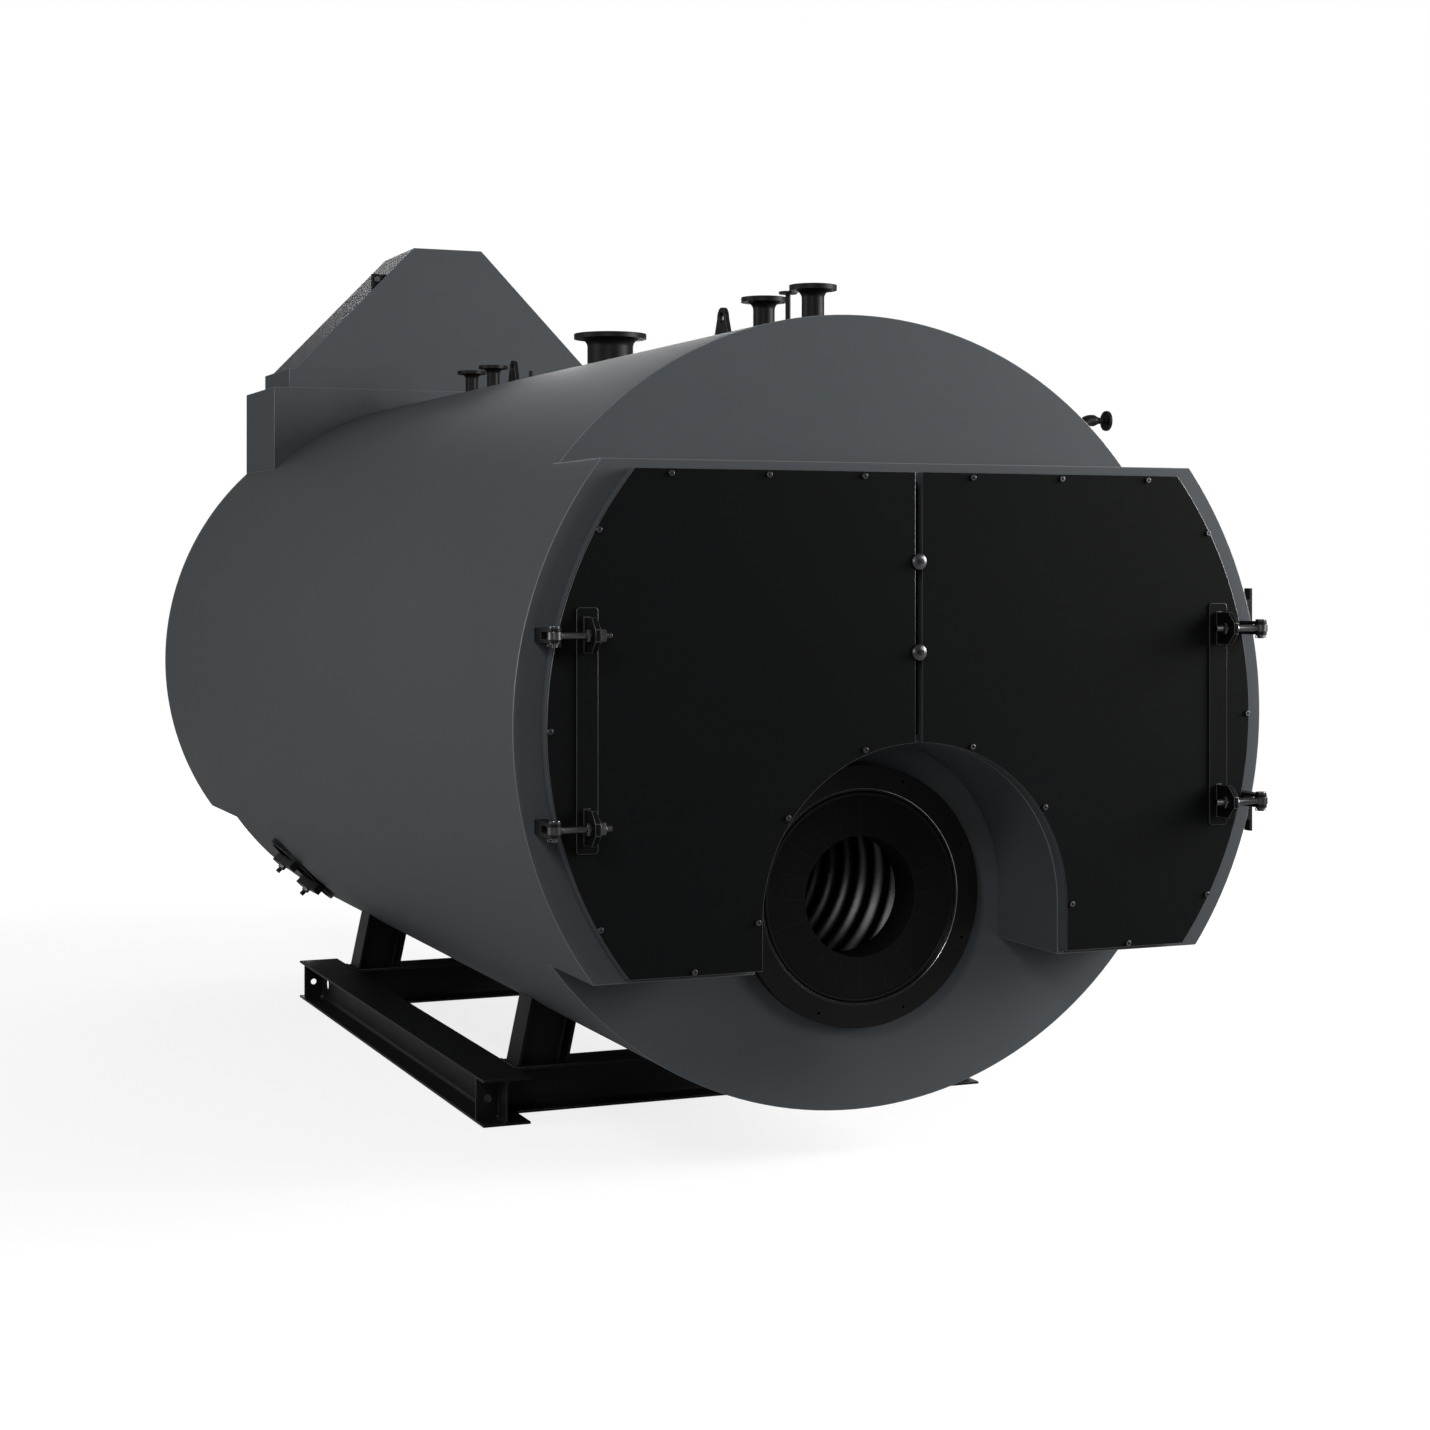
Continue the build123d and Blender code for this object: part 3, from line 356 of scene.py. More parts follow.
def coated_finish(
    name, dark, light, rough, metal=0.0, specular=0.5, dust=0.02, speckle=0.02,
    peel_size=160.0, grain_size=1400.0, depth=0.0003, cloud=0.7,
):
    """A painted or coated steel: two tones that drift, a range of roughness, peel and dust."""
    finish = bpy.data.materials.new(name)
    finish.use_nodes = True
    tree = finish.node_tree
    coating = group_node(tree, powder_coat, {"Peel size": peel_size, "Grain size": grain_size})
    drift = group_node(tree, tone_drift, {"Cloud size": cloud}).outputs["Drift"]
    settled = group_node(tree, settled_dust, {"Amount": dust}).outputs["Dust"]
    tone = mixed(tree, ranged(tree, drift, 0, 1), dark, light)
    grained = mixed(tree, ranged(tree, coating.outputs["Grain"], 0, speckle), tone, DUST_COLOUR)
    worn = ranged(tree, drift, *rough)
    dull = math_node(tree, "MULTIPLY", settled, DUST_DULLS)
    bump = tree.nodes.new("ShaderNodeBump")
    feed(tree, bump, {
        "Strength": BUMP_STRENGTH, "Distance": depth, "Height": coating.outputs["Height"],
    })
    feed(tree, tree.nodes["Principled BSDF"], {
        "Base Color": mixed(tree, settled, grained, DUST_COLOUR),
        "Metallic": metal,
        "Roughness": math_node(tree, "ADD", worn, dull, clamp=True),
        "Specular IOR Level": specular,
        "Normal": bump.outputs["Normal"],
    })
    return finish


# %% [markdown]
# The grey cladding is a fine satin powder coat. The door sheets have a smoother, near-black one. The
# base, nozzles and lugs are brushed with a thicker black paint, so their peel is coarser and their
# roughness varies more. The hinge gear is phosphated steel: dark, but metallic, so it shows crisp
# highlights. The throat is a cast refractory with sand-sized pores and hardly any gloss, and behind
# it lies steel with a dark mill scale. Each finish has a lighter twin for its bevelled edges: paint,
# bare steel or chipped refractory. Except for the turned steel of the burner flange's chamfer, each
# twin is partly wear, since a coating is a little thinner and more rubbed on an edge, and partly a
# painted highlight: the bright line along an edge is painted into its colour.

# %% The finishes
finishes = {
    "cladding": coated_finish(
        "slate_powder_coat", (0.055, 0.063, 0.07), (0.065, 0.074, 0.082), (0.5, 0.58),
        specular=0.12, speckle=0.05, depth=0.00001,
    ),
    "door_black": coated_finish(
        "black_sheet_coat", (0.003, 0.0033, 0.0036), (0.004, 0.0044, 0.0048), (0.5, 0.58),
        specular=0.035, speckle=0.006, depth=0.00012,
    ),
    "frame_black": coated_finish(
        "black_brushed_paint", (0.003, 0.003, 0.0033), (0.0052, 0.0052, 0.0055), (0.36, 0.5),
        specular=0.12, dust=0.03, speckle=0.008, peel_size=90.0, grain_size=700.0, cloud=2.5,
    ),
    "dark_steel": coated_finish(
        "phosphated_steel", (0.05, 0.05, 0.053), (0.1, 0.1, 0.105), (0.24, 0.34), metal=0.95,
        peel_size=500.0, grain_size=2200.0, depth=0.00005, cloud=14.0,
    ),
    "refractory": coated_finish(
        "cast_refractory", (0.005, 0.005, 0.0049), (0.0072, 0.0071, 0.0068), (0.7, 0.8),
        specular=0.06, speckle=0.012, peel_size=70.0, grain_size=900.0, depth=0.0006, cloud=5.0,
    ),
    "boiler_steel": coated_finish(
        "mill_scale_steel", (0.04, 0.04, 0.042), (0.075, 0.074, 0.073), (0.24, 0.32), metal=0.85,
        dust=0.05, peel_size=60.0, grain_size=700.0, cloud=3.0,
    ),
}
# Lighter twins for bevelled edges: edge wear, and a painted highlight along each edge. The boiler
# steel's twin is the bare turned steel of the flange's chamfer.
worn_edge_and_painted_highlight_finishes = {
    "cladding": coated_finish(
        "slate_coat_worn_edges_painted_highlight", (0.1, 0.11, 0.12), (0.14, 0.15, 0.16), (0.3, 0.38),
        specular=0.4, speckle=0.03, depth=0.00001,
    ),
    "door_black": coated_finish(
        "black_sheet_worn_edges_painted_highlight", (0.03, 0.031, 0.033), (0.06, 0.061, 0.064), (0.26, 0.34),
        depth=0.00006, cloud=5.0,
    ),
    "frame_black": coated_finish(
        "black_paint_worn_edges_painted_highlight", (0.008, 0.008, 0.0085), (0.024, 0.024, 0.025), (0.3, 0.42),
        specular=0.45, depth=0.0001, cloud=6.0,
    ),
    "dark_steel": coated_finish(
        "steel_worn_edges_painted_highlight", (0.18, 0.18, 0.185), (0.32, 0.32, 0.33), (0.18, 0.26), metal=1.0,
        dust=0.01, peel_size=500.0, grain_size=2200.0, depth=0.00005, cloud=14.0,
    ),
    "refractory": coated_finish(
        "chipped_refractory_painted_highlight", (0.012, 0.012, 0.0118), (0.02, 0.0198, 0.0195), (0.6, 0.7),
        specular=0.15, peel_size=70.0, grain_size=900.0, cloud=9.0,
    ),
    "boiler_steel": coated_finish(
        "turned_steel", (0.62, 0.62, 0.62), (0.75, 0.75, 0.74), (0.17, 0.22), metal=1.0,
        dust=0.0, peel_size=500.0, grain_size=2200.0, depth=0.00003, cloud=14.0,
    ),
}
print("Finishes:", [finish.name for finish in bpy.data.materials])

# %% [markdown]
# A CAD mesh is a heap of loose triangles with perfectly sharp edges, and no real edge is perfectly
# sharp. So each node is copied, its triangles are joined and its flat faces merged. Two angles then
# tell corners from curved walls: an edge that turns by more than the larger one gets a narrow bevel,
# and one that turns by less than the smaller one is shaded smooth.

# %% Copy a CAD node with finished edges
SMOOTH_BELOW = math.radians(21)
BEVEL_ABOVE = math.radians(32)
SAME_PLANE = math.radians(0.4)
MERGE_WITHIN = 0.00005
ON_PLANE_WITHIN = 0.0003

bodies = frame["record"]["behaviour"]["bodies"]
body_of = {node: body for body, members in bodies.items() for node in members}
slot_of = {sub["node"]: sub["material_slot"] for sub in frame["record"]["subparts"]}


def finish_mesh(bm, name, body, slot, coat=None):
    """Turns a bmesh into a piece with its shading, its body, its slot and that slot's finishes."""
    mesh = bpy.data.meshes.new(name)
    bm.to_mesh(mesh)
    bm.free()
    if "custom_normal" in mesh.attributes:
        mesh.attributes.remove(mesh.attributes["custom_normal"])
    mesh.materials.append(finishes[coat or slot])
    # The second slot is the edge twin: edge wear with a painted highlight.
    mesh.materials.append(worn_edge_and_painted_highlight_finishes[coat or slot])
    mesh.shade_smooth()
    mesh.set_sharp_from_angle(angle=SMOOTH_BELOW)
    piece = add_object(name, mesh)
    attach(piece, body)
    return piece


def merged_copy(node):
    """A bmesh of one CAD node, joined up and with its flat faces in one piece each."""
    bm = bmesh.new()
    bm.from_mesh(frame["nodes"][node].data)
    for face in bm.faces:
        face.material_index = 0
    bmesh.ops.remove_doubles(bm, verts=bm.verts, dist=MERGE_WITHIN)
    bmesh.ops.dissolve_limit(
        bm, angle_limit=SAME_PLANE, verts=bm.verts, edges=bm.edges, use_dissolve_boundaries=False
    )
    return bm


def bevel_edges(bm, edges, width, segments, clamp=True):
    """A rounded bevel on the edges given, clamped where space is short; returns its faces."""
    made = bmesh.ops.bevel(
        bm, geom=edges, offset=width, offset_type="OFFSET", affect="EDGES", segments=segments,
        profile=0.5, material=-1, clamp_overlap=clamp,
    )
    return made["faces"]


def sharp_edges(bm, above=BEVEL_ABOVE):
    """The edges between two faces that turn by more than an angle."""
    return [edge for edge in bm.edges if edge.is_manifold and edge.calc_face_angle(0) > above]


def on_plane(edge, plane):
    """Whether an edge lies in a plane, given as an axis number and a place on that axis."""
    axis, place = plane
    return all(abs(vert.co[axis] - place) < ON_PLANE_WITHIN for vert in edge.verts)


def dress(node, radius, flush=(), clamp=True):
    """Replaces a CAD node with a copy whose edges are rounded, but not where it lies flush."""
    bm = merged_copy(node)
    edges = [edge for edge in sharp_edges(bm) if not any(on_plane(edge, plane) for plane in flush)]
    # Bevel faces take the edge twin, whose lighter colour is edge wear and a painted highlight.
    for face in bevel_edges(bm, edges, radius, 2, clamp):
        face.material_index = 1
    coat = "door_black" if node.endswith("_strap") else None
    piece = finish_mesh(bm, f"{node}_dressed", body_of[node], slot_of[node], coat)
    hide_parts(node)
    return piece


# %% [markdown]
# The edge radius follows how the piece is made: folded sheet turns in two and a half millimetres, a
# rolled beam or a forged flange in one and a half, and turned hinge parts in one. The hinge straps
# have the same coat as the door sheets under them. The shell, the casing and the rear box are one
# skin on the real boiler, so where two of their nodes meet, the edges stay sharp and flush, and no
# groove shows. The lifting lugs are bevelled without a clamp, because one tight place on them would
# shrink the whole bevel to nothing.

# %% Dress the CAD nodes
SKIN_RADIUS = 0.0025
LUG_RADIUS = 0.0015
SKIN = [
    "shell_jacket", "front_cover_upper", "front_cover_lower", "front_casing", "casing_roof",
    "burner_arch", "rear_casing",
]
EDGE_RADII = {
    0.0025: [
        "rear_cover", "hood_base", "hood_top", "door_left_pan", "door_right_pan",
        "rear_cleaning_doors", "burner_flange",
    ],
    0.0015: [
        "door_left_sheet", "door_right_sheet", "door_left_strap", "door_right_strap", "flue_outlet",
        "base_beam_left", "base_beam_right", "cross_beam_front", "cross_beam_rear",
        "beam_stiffeners", "legs_front", "legs_rear", "steam_nozzle", "front_nozzles",
        "hood_lugs", "side_connection", "side_rail", "manhole_neck", "manhole_cover",
        "manhole_bridges", "casing_mullion", "vent_pipes", "front_end_plate", "rear_cover_lower",
    ],
    0.001: [
        "rear_nozzles",
        "door_left_eye_bolts", "door_right_eye_bolts", "hinge_brackets_left",
        "hinge_brackets_right", "hinge_pins_left", "hinge_pins_right",
    ],
}
skin_seams = [(1, jacket_low[1]), (1, shell_back_y), (2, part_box("casing_roof")[0][2])]
for node_name in SKIN:
    dress(node_name, SKIN_RADIUS, skin_seams)
for radius, names in EDGE_RADII.items():
    for node_name in names:
        dress(node_name, radius)
dress("lifting_lugs", LUG_RADIUS, clamp=False)
print("Dressed", len(SKIN) + sum(len(names) for names in EDGE_RADII.values()) + 1, "nodes")

# %% [markdown]
# Many pieces here are turned: discs, washers, domed caps and tube ends. Such a shape is a half
# section that is spun about its own axis. The section runs along Z, and the finished shape is then
# laid in place by a matrix, often many times in one piece. A small gap keeps a part that presses on
# another from sharing its surface.

# %% A turned shape from its half section
FIT_GAP = 0.0002


def turned(section, steps=32):
    """A bmesh made by spinning (radius, height) points about Z."""
    bm = bmesh.new()
    points = [bm.verts.new((radius, 0, height)) for radius, height in section]
    chain = [bm.edges.new(pair) for pair in zip(points, points[1:])]
    if section[0][0] > 0 and section[-1][0] > 0:
        chain.append(bm.edges.new((points[-1], points[0])))
    bmesh.ops.spin(
        bm, geom=points + chain, cent=(0, 0, 0), axis=(0, 0, 1), angle=math.tau, steps=steps,
        use_merge=True,
    )
    bmesh.ops.remove_doubles(bm, verts=bm.verts, dist=MERGE_WITHIN)
    bmesh.ops.recalc_face_normals(bm, faces=bm.faces)
    return bm


def copies(shape, places):
    """One bmesh with the shape laid at each matrix; the shape is freed."""
    pattern = bpy.data.meshes.new("pattern")
    shape.to_mesh(pattern)
    shape.free()
    bm = bmesh.new()
    for place in places:
        laid = pattern.copy()
        laid.transform(place)
        bm.from_mesh(laid)
        bpy.data.meshes.remove(laid)
    bpy.data.meshes.remove(pattern)
    return bm


def lay(shape, places, name, slot="dark_steel", body="root"):
    """Lays a shape at each matrix and finishes the whole as one piece."""
    return finish_mesh(copies(shape, places), name, body, slot)


def joined(*shapes):
    """One bmesh that holds several shapes; the shapes are freed."""
    whole = bmesh.new()
    for shape in shapes:
        part = bpy.data.meshes.new("part")
        shape.to_mesh(part)
        shape.free()
        whole.from_mesh(part)
        bpy.data.meshes.remove(part)
    return whole


def moved(shape, matrix):
    """The same bmesh, moved by a matrix."""
    bmesh.ops.transform(shape, verts=shape.verts, matrix=matrix)
    return shape


def disc(bore, radius, low, high, steps):
    """A disc or rod along Z between two heights, with a bore unless that is 0."""
    return turned([(bore, low), (radius, low), (radius, high), (bore, high)], steps)


def cylinder(segments, radius, height, base=0.0):
    """A closed prism along Z with a number of sides, standing at a height."""
    bm = bmesh.new()
    bmesh.ops.create_cone(
        bm, cap_ends=True, segments=segments, radius1=radius, radius2=radius, depth=height,
        matrix=Matrix.Translation((0, 0, base + height / 2)),
    )
    return bm


def only_verts(parts):
    """The vertices among the parts that an operator made."""
    return [part for part in parts if isinstance(part, bmesh.types.BMVert)]


def rotation(degrees, axis):
    """A rotation by degrees about an axis."""
    return Matrix.Rotation(math.radians(degrees), 4, axis)


def facing_front(x, y, z, turn=0.0):
    """Lays a shape's own +Z towards the front of the boiler, turned about that axis."""
    return Matrix.Translation((x, y, z)) @ rotation(90, "X") @ Matrix.Rotation(turn, 4, "Z")


def facing_rear(x, y, z, turn=0.0):
    """Lays a shape's own +Z towards the rear of the boiler, turned about that axis."""
    return Matrix.Translation((x, y, z)) @ rotation(-90, "X") @ Matrix.Rotation(turn, 4, "Z")


def facing_side(x, y, z, side):
    """Lays a shape's own +Z to the right (side 1) or to the left (side -1)."""
    return Matrix.Translation((x, y, z)) @ rotation(side * 90, "Y")


# %% [markdown]
# Ten cap screws hold each door sheet: three along the top, three on the rim, one below and three
# around the arch. Each is a round head with a small bevel on top and a hexagon socket. The socket is
# an inset of the top face, pushed in.

# %% Sheet screws on the doors
SCREW_RADIUS = 0.0105
SCREW_HEIGHT = 0.009
SOCKET_SHARE = 0.55
SOCKET_DEPTH_SHARE = 0.6
HEAD_BEVEL_SHARE = 0.14
TOP_SCREW_X = (0.2173, 0.586, 0.9534)
TOP_SCREW_INSET = 0.018
RIM_SCREW_Z_SHARES = (0.485, -0.005, -0.492)
RIM_SCREW_INSET = 0.010
BOTTOM_SCREW_X = 0.8678
BOTTOM_SCREW_INSET = 0.014
ARCH_RADIUS = 0.609
ARCH_SCREW_INSET = 0.019
ARCH_SCREW_ANGLES_DEG = (0, 35, 70)


def cap_screw():
    """A socket-head screw, standing on its seat."""
    bm = cylinder(24, SCREW_RADIUS, SCREW_HEIGHT)
    top = max(bm.faces, key=lambda face: face.calc_center_median().z)
    bevel_edges(bm, list(top.edges), SCREW_RADIUS * HEAD_BEVEL_SHARE, 2)
    top = max(bm.faces, key=lambda face: face.calc_center_median().z)
    bmesh.ops.inset_individual(bm, faces=[top], thickness=SCREW_RADIUS * (1 - SOCKET_SHARE))
    sunk = only_verts(bmesh.ops.extrude_face_region(bm, geom=[top])["geom"])
    bmesh.ops.translate(bm, verts=sunk, vec=(0, 0, -SCREW_HEIGHT * SOCKET_DEPTH_SHARE))
    bmesh.ops.delete(bm, geom=[top], context="FACES_ONLY")
    return bm


def sheet_screw_places(side):
    """Where the screws of one leaf sit, as (x, z)."""
    places = [(side * x, leaf_high_z - TOP_SCREW_INSET) for x in TOP_SCREW_X]
    rim = leaf_radius - RIM_SCREW_INSET
    for share in RIM_SCREW_Z_SHARES:
        places.append((side * rim * math.sqrt(1 - share**2), shell_axis_z + rim * share))
    places.append((side * BOTTOM_SCREW_X, leaf_low_z + BOTTOM_SCREW_INSET))
    arch = ARCH_RADIUS + ARCH_SCREW_INSET
    for angle in ARCH_SCREW_ANGLES_DEG:
        turn = math.radians(angle)
        places.append((side * arch * math.cos(turn), burner_z + arch * math.sin(turn)))
    return places


for leaf, side in leaves.items():
    spots = [
        facing_front(x, sheet_front_y, z, turn=index)
        for index, (x, z) in enumerate(sheet_screw_places(side))
    ]
    lay(cap_screw(), spots, f"sheet_screws_{leaf}", body=f"door_{leaf}")
print("Sheet screws a leaf:", len(sheet_screw_places(1)))

# %% [markdown]
# Where the two leaves meet, two domed washers press on both of them. Each is pulled tight by a nut
# on a stud that stands in the seam, fixed to the upright bar behind. The dome is a turned section,
# and the nut is a six-sided cone with its corners taken off.

# %% Knobs and studs on the seam
KNOB_HEIGHTS = (0.567, 0.242)
KNOB_RADIUS = 0.030
KNOB_EDGE = 0.003
KNOB_DOME = 0.011
STUD_RADIUS = 0.0055
STUD_PROUD = 0.034
STUD_CHAMFER = 0.002
NUT_RADIUS = 0.0115
NUT_HEIGHT = 0.011


def domed_washer(radius, edge, dome, bore):
    """A disc whose top swells to a low dome, with a hole for the stud."""
    rise = [(radius * math.cos(math.radians(a)), edge + dome * math.sin(math.radians(a)))
            for a in (0, 20, 40, 60, 75)]
    return turned([(bore, 0), (radius, 0), *rise, (bore, edge + dome)], 40)


def hexagon_nut(radius, height, base):
    """A hexagon nut with chamfered corners, its seat at a height."""
    bm = cylinder(6, radius, height, base)
    ends = [edge for edge in bm.edges if abs(edge.verts[0].co.z - edge.verts[1].co.z) < height / 2]
    bevel_edges(bm, ends, height * HEAD_BEVEL_SHARE, 1)
    return bm


knob_spots = [facing_front(0, sheet_front_y - FIT_GAP, shell_axis_z + z) for z in KNOB_HEIGHTS]
stud_depth = casing_front_y - sheet_front_y
stud = turned(
    [(0, -stud_depth), (STUD_RADIUS, -stud_depth), (STUD_RADIUS, STUD_PROUD - STUD_CHAMFER),
     (STUD_RADIUS - STUD_CHAMFER, STUD_PROUD), (0, STUD_PROUD)], 20
)
knob = domed_washer(KNOB_RADIUS, KNOB_EDGE, KNOB_DOME, STUD_RADIUS)
lay(knob, knob_spots, "seam_knobs")
lay(hexagon_nut(NUT_RADIUS, NUT_HEIGHT, KNOB_EDGE + KNOB_DOME), knob_spots, "seam_nuts")
lay(stud, knob_spots, "seam_studs")
print("Stud length, millimetres:", round((STUD_PROUD + stud_depth) * 1000))

# %% [markdown]
# The flame tube is rolled with rounded ridges, so that it can grow in the heat. Down its throat each
# ridge catches a thin crescent of light with a dark, flat strip behind it, so the ridges are narrow
# and steep. In the half section each is a raised cosine, and the whole is spun with many steps.

# %% Corrugated flame tube
TUBE_RADIUS = 0.430
TUBE_WALL = 0.020
TUBE_BACK_WALL = 0.025
RIDGE_START = 0.285
RIDGE_PITCH = 0.150
RIDGE_HEIGHT = 0.038
RIDGE_COUNT = 8
RIDGE_HALF_WIDTH = 0.031
RIDGE_STEPS = 7


def ridge_points(radius):
    """The ridges as (radius, depth) points, from the front: the first and last are half ridges."""
    points = []
    for ridge in range(RIDGE_COUNT + 1):
        for step in range(-RIDGE_STEPS, RIDGE_STEPS + 1):
            depth = RIDGE_PITCH * ridge + RIDGE_HALF_WIDTH * step / RIDGE_STEPS
            rise = (1 - math.cos(math.pi * step / RIDGE_STEPS)) / 2
            if 0 <= depth <= RIDGE_PITCH * RIDGE_COUNT:
                points.append((radius + RIDGE_HEIGHT * rise, RIDGE_START + depth))
    return points


tube_front = tube_low[1] - cover_y
tube_back = tube_high[1] - cover_y
tube_section = [
    (TUBE_RADIUS, tube_front), *ridge_points(TUBE_RADIUS), (TUBE_RADIUS, tube_back - TUBE_BACK_WALL),
    (0, tube_back - TUBE_BACK_WALL), (0, tube_back), (TUBE_RADIUS + TUBE_WALL, tube_back),
    *reversed(ridge_points(TUBE_RADIUS + TUBE_WALL)), (TUBE_RADIUS + TUBE_WALL, tube_front),
    (TUBE_RADIUS, tube_front),
]
tube_bm = moved(turned(tube_section, 96), facing_rear(0, cover_y, burner_z))
tube = finish_mesh(tube_bm, "flame_tube_dressed", "root", "boiler_steel")
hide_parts("flame_tube")

# %% [markdown]
# The throat is cast in blocks, with fine radial joints between them. One block is a wedge: its half
# section is spun through a little less than its share of the circle, and its edges are rounded. A
# slim turned ring holds the blocks in the flange.

# %% Refractory throat in blocks
BLOCK_COUNT = 20
BLOCK_JOINT_DEG = 0.05
THROAT_RADIUS = 0.229
THROAT_FACE_RADIUS = 0.3795
THROAT_SEAT_RADIUS = 0.399
THROAT_TUBE_RADIUS = 0.430
THROAT_STEP = 0.020
BLOCK_BEVEL = 0.0007
COVER_THICKNESS = 0.060
RETAINER_REACH = 0.004
RETAINER_CHAMFER = 0.002
RETAINER_GAP = 0.001
RETAINER_INSET = 0.006

throat_front = throat_low[1] - cover_y
throat_back = throat_high[1] - cover_y
throat_section = [
    (THROAT_RADIUS, throat_front), (THROAT_RADIUS, throat_back), (THROAT_TUBE_RADIUS, throat_back),
    (THROAT_TUBE_RADIUS, COVER_THICKNESS), (THROAT_SEAT_RADIUS, COVER_THICKNESS),
    (THROAT_SEAT_RADIUS, throat_front + THROAT_STEP),
    (THROAT_FACE_RADIUS, throat_front + THROAT_STEP), (THROAT_FACE_RADIUS, throat_front),
]
block = bmesh.new()
section_points = [block.verts.new((radius, 0, depth)) for radius, depth in throat_section]
section_face = block.faces.new(section_points)
block_angle = math.tau / BLOCK_COUNT - math.radians(BLOCK_JOINT_DEG)
bmesh.ops.spin(
    block, geom=[section_face], cent=(0, 0, 0), axis=(0, 0, 1), angle=block_angle, steps=5,
)
bmesh.ops.recalc_face_normals(block, faces=block.faces)
# The rounded block edges take the lighter refractory: chipped edges and a painted highlight along the
# joints.
for face in bevel_edges(block, sharp_edges(block), BLOCK_BEVEL, 2):
    face.material_index = 1
throat_places = [
    facing_rear(0, cover_y, burner_z, turn=math.tau * index / BLOCK_COUNT)
    for index in range(BLOCK_COUNT)
]
throat = lay(block, throat_places, "refractory_blocks", "refractory")
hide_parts("refractory_throat")
ring_inner = THROAT_FACE_RADIUS + RETAINER_GAP
ring_outer = THROAT_SEAT_RADIUS - RETAINER_INSET
ring_shoulder = RETAINER_CHAMFER - RETAINER_REACH
retainer = turned(
    [(ring_inner, RETAINER_REACH), (ring_inner, ring_shoulder),
     (ring_inner + RETAINER_CHAMFER, -RETAINER_REACH),
     (ring_outer - RETAINER_CHAMFER, -RETAINER_REACH),
     (ring_outer, ring_shoulder), (ring_outer, RETAINER_REACH)], 120
)
moved(retainer, facing_rear(0, throat_low[1], burner_z))
finish_mesh(retainer, "throat_retainer", "root", "frame_black")

# %% [markdown]
# The burner's flange has a turned chamfer on its inner edge. It is the one bright surface here: where
# it faces the key lamp, it shows one thin crescent of light. It is a separate ring, so that its cone
# can have the turned steel and the rest of it the dark one.

# %% Bright chamfer on the burner's flange
FLANGE_BORE = 0.399
CHAMFER_WIDTH = 0.007
CHAMFER_PROUD = 0.0008
CHAMFER_RIM = 0.001
CHAMFER_LAP = 0.0005
flange_front_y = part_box("burner_flange")[0][1]
cone_radius = FLANGE_BORE + CHAMFER_WIDTH
chamfer = turned(
    [(FLANGE_BORE - CHAMFER_LAP, -CHAMFER_WIDTH), (cone_radius, CHAMFER_PROUD),
     (cone_radius + CHAMFER_RIM, CHAMFER_PROUD), (cone_radius + CHAMFER_RIM, -CHAMFER_WIDTH)], 160
)
for face in chamfer.faces:
    across = max(vert.co.z for vert in face.verts) - min(vert.co.z for vert in face.verts)
    reach = face.calc_center_median().xy.length
    if across > CHAMFER_PROUD and reach < cone_radius:
        face.material_index = 1
moved(chamfer, facing_front(0, flange_front_y, burner_z))
chamfer_ring = finish_mesh(chamfer, "flange_chamfer", "root", "boiler_steel")
print("Chamfer faces:", len(chamfer_ring.data.polygons))

# %% [markdown]
# Behind the doors the smoke tubes end in the boiler's end plate. Each end stands a few millimetres
# out of its hole, with a weld around it. The holes are read from the CAD node: the faces of its hole
# walls are gathered into islands, and the middle of each island is the axis of a tube.

# %% Smoke tube ends in the end plate
SMOKE_TUBE_WALL = 0.0036
SMOKE_TUBE_PROUD = 0.006
SMOKE_TUBE_DEPTH = 0.12
SMOKE_TUBE_WELD = 0.004
SMOKE_WELD_SWELL = 0.7
LARGEST_SMOKE_HOLE = 0.05
WALL_TILT = 0.1


def read_bores(node, largest):
    """The middle and radius of each hole along Y, up to a radius, in the same order each run."""
    bm = merged_copy(node)
    walls = dict.fromkeys(face for face in bm.faces if abs(face.normal.y) < WALL_TILT)
    bores = []
    while walls:
        island = [walls.popitem()[0]]
        for face in island:
            for edge in face.edges:
                for other in edge.link_faces:
                    if other in walls:
                        del walls[other]
                        island.append(other)
        points = dict.fromkeys(vert for face in island for vert in face.verts)
        middle = sum((vert.co for vert in points), Vector()) / len(points)
        reach = max(math.hypot(vert.co.x - middle.x, vert.co.z - middle.z) for vert in points)
        if reach < largest:
            bores.append((middle, reach))
    bm.free()
    return bores


def smoke_tube_end(radius):
    """The end of one smoke tube, open at both ends, with its weld bead."""
    inner = radius - SMOKE_TUBE_WALL
    lip = SMOKE_TUBE_WALL / 3
    return turned(
        [(inner, -SMOKE_TUBE_DEPTH), (radius, -SMOKE_TUBE_DEPTH), (radius, 0),
         (radius + SMOKE_TUBE_WELD, 0),
         (radius + SMOKE_TUBE_WELD / 2, SMOKE_TUBE_WELD * SMOKE_WELD_SWELL),
         (radius, SMOKE_TUBE_WELD), (radius, SMOKE_TUBE_PROUD - lip), (radius - lip, SMOKE_TUBE_PROUD),
         (inner + lip, SMOKE_TUBE_PROUD), (inner, SMOKE_TUBE_PROUD - lip)], 20
    )


smoke_bores = read_bores("front_end_plate", LARGEST_SMOKE_HOLE)
end_plate_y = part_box("front_end_plate")[0][1]
smoke_spots = [facing_front(middle.x, end_plate_y, middle.z) for middle, reach in smoke_bores]
tube_end = smoke_tube_end(smoke_bores[0][1] - FIT_GAP)
lay(tube_end, smoke_spots, "smoke_tube_ends", "boiler_steel")
print("Smoke tubes:", len(smoke_bores))

# %% [markdown]
# An open door shows its inner side: a board of insulation held by clips, and a rope that seals the
# leaf against the casing. Both follow the leaf's outline, so they start from the inner face of the
# CAD pan: an inset gives the margin, a second one the strip of the rope, and an extrusion their
# thickness. They have to fit in the five millimetres between the shut door and the casing.

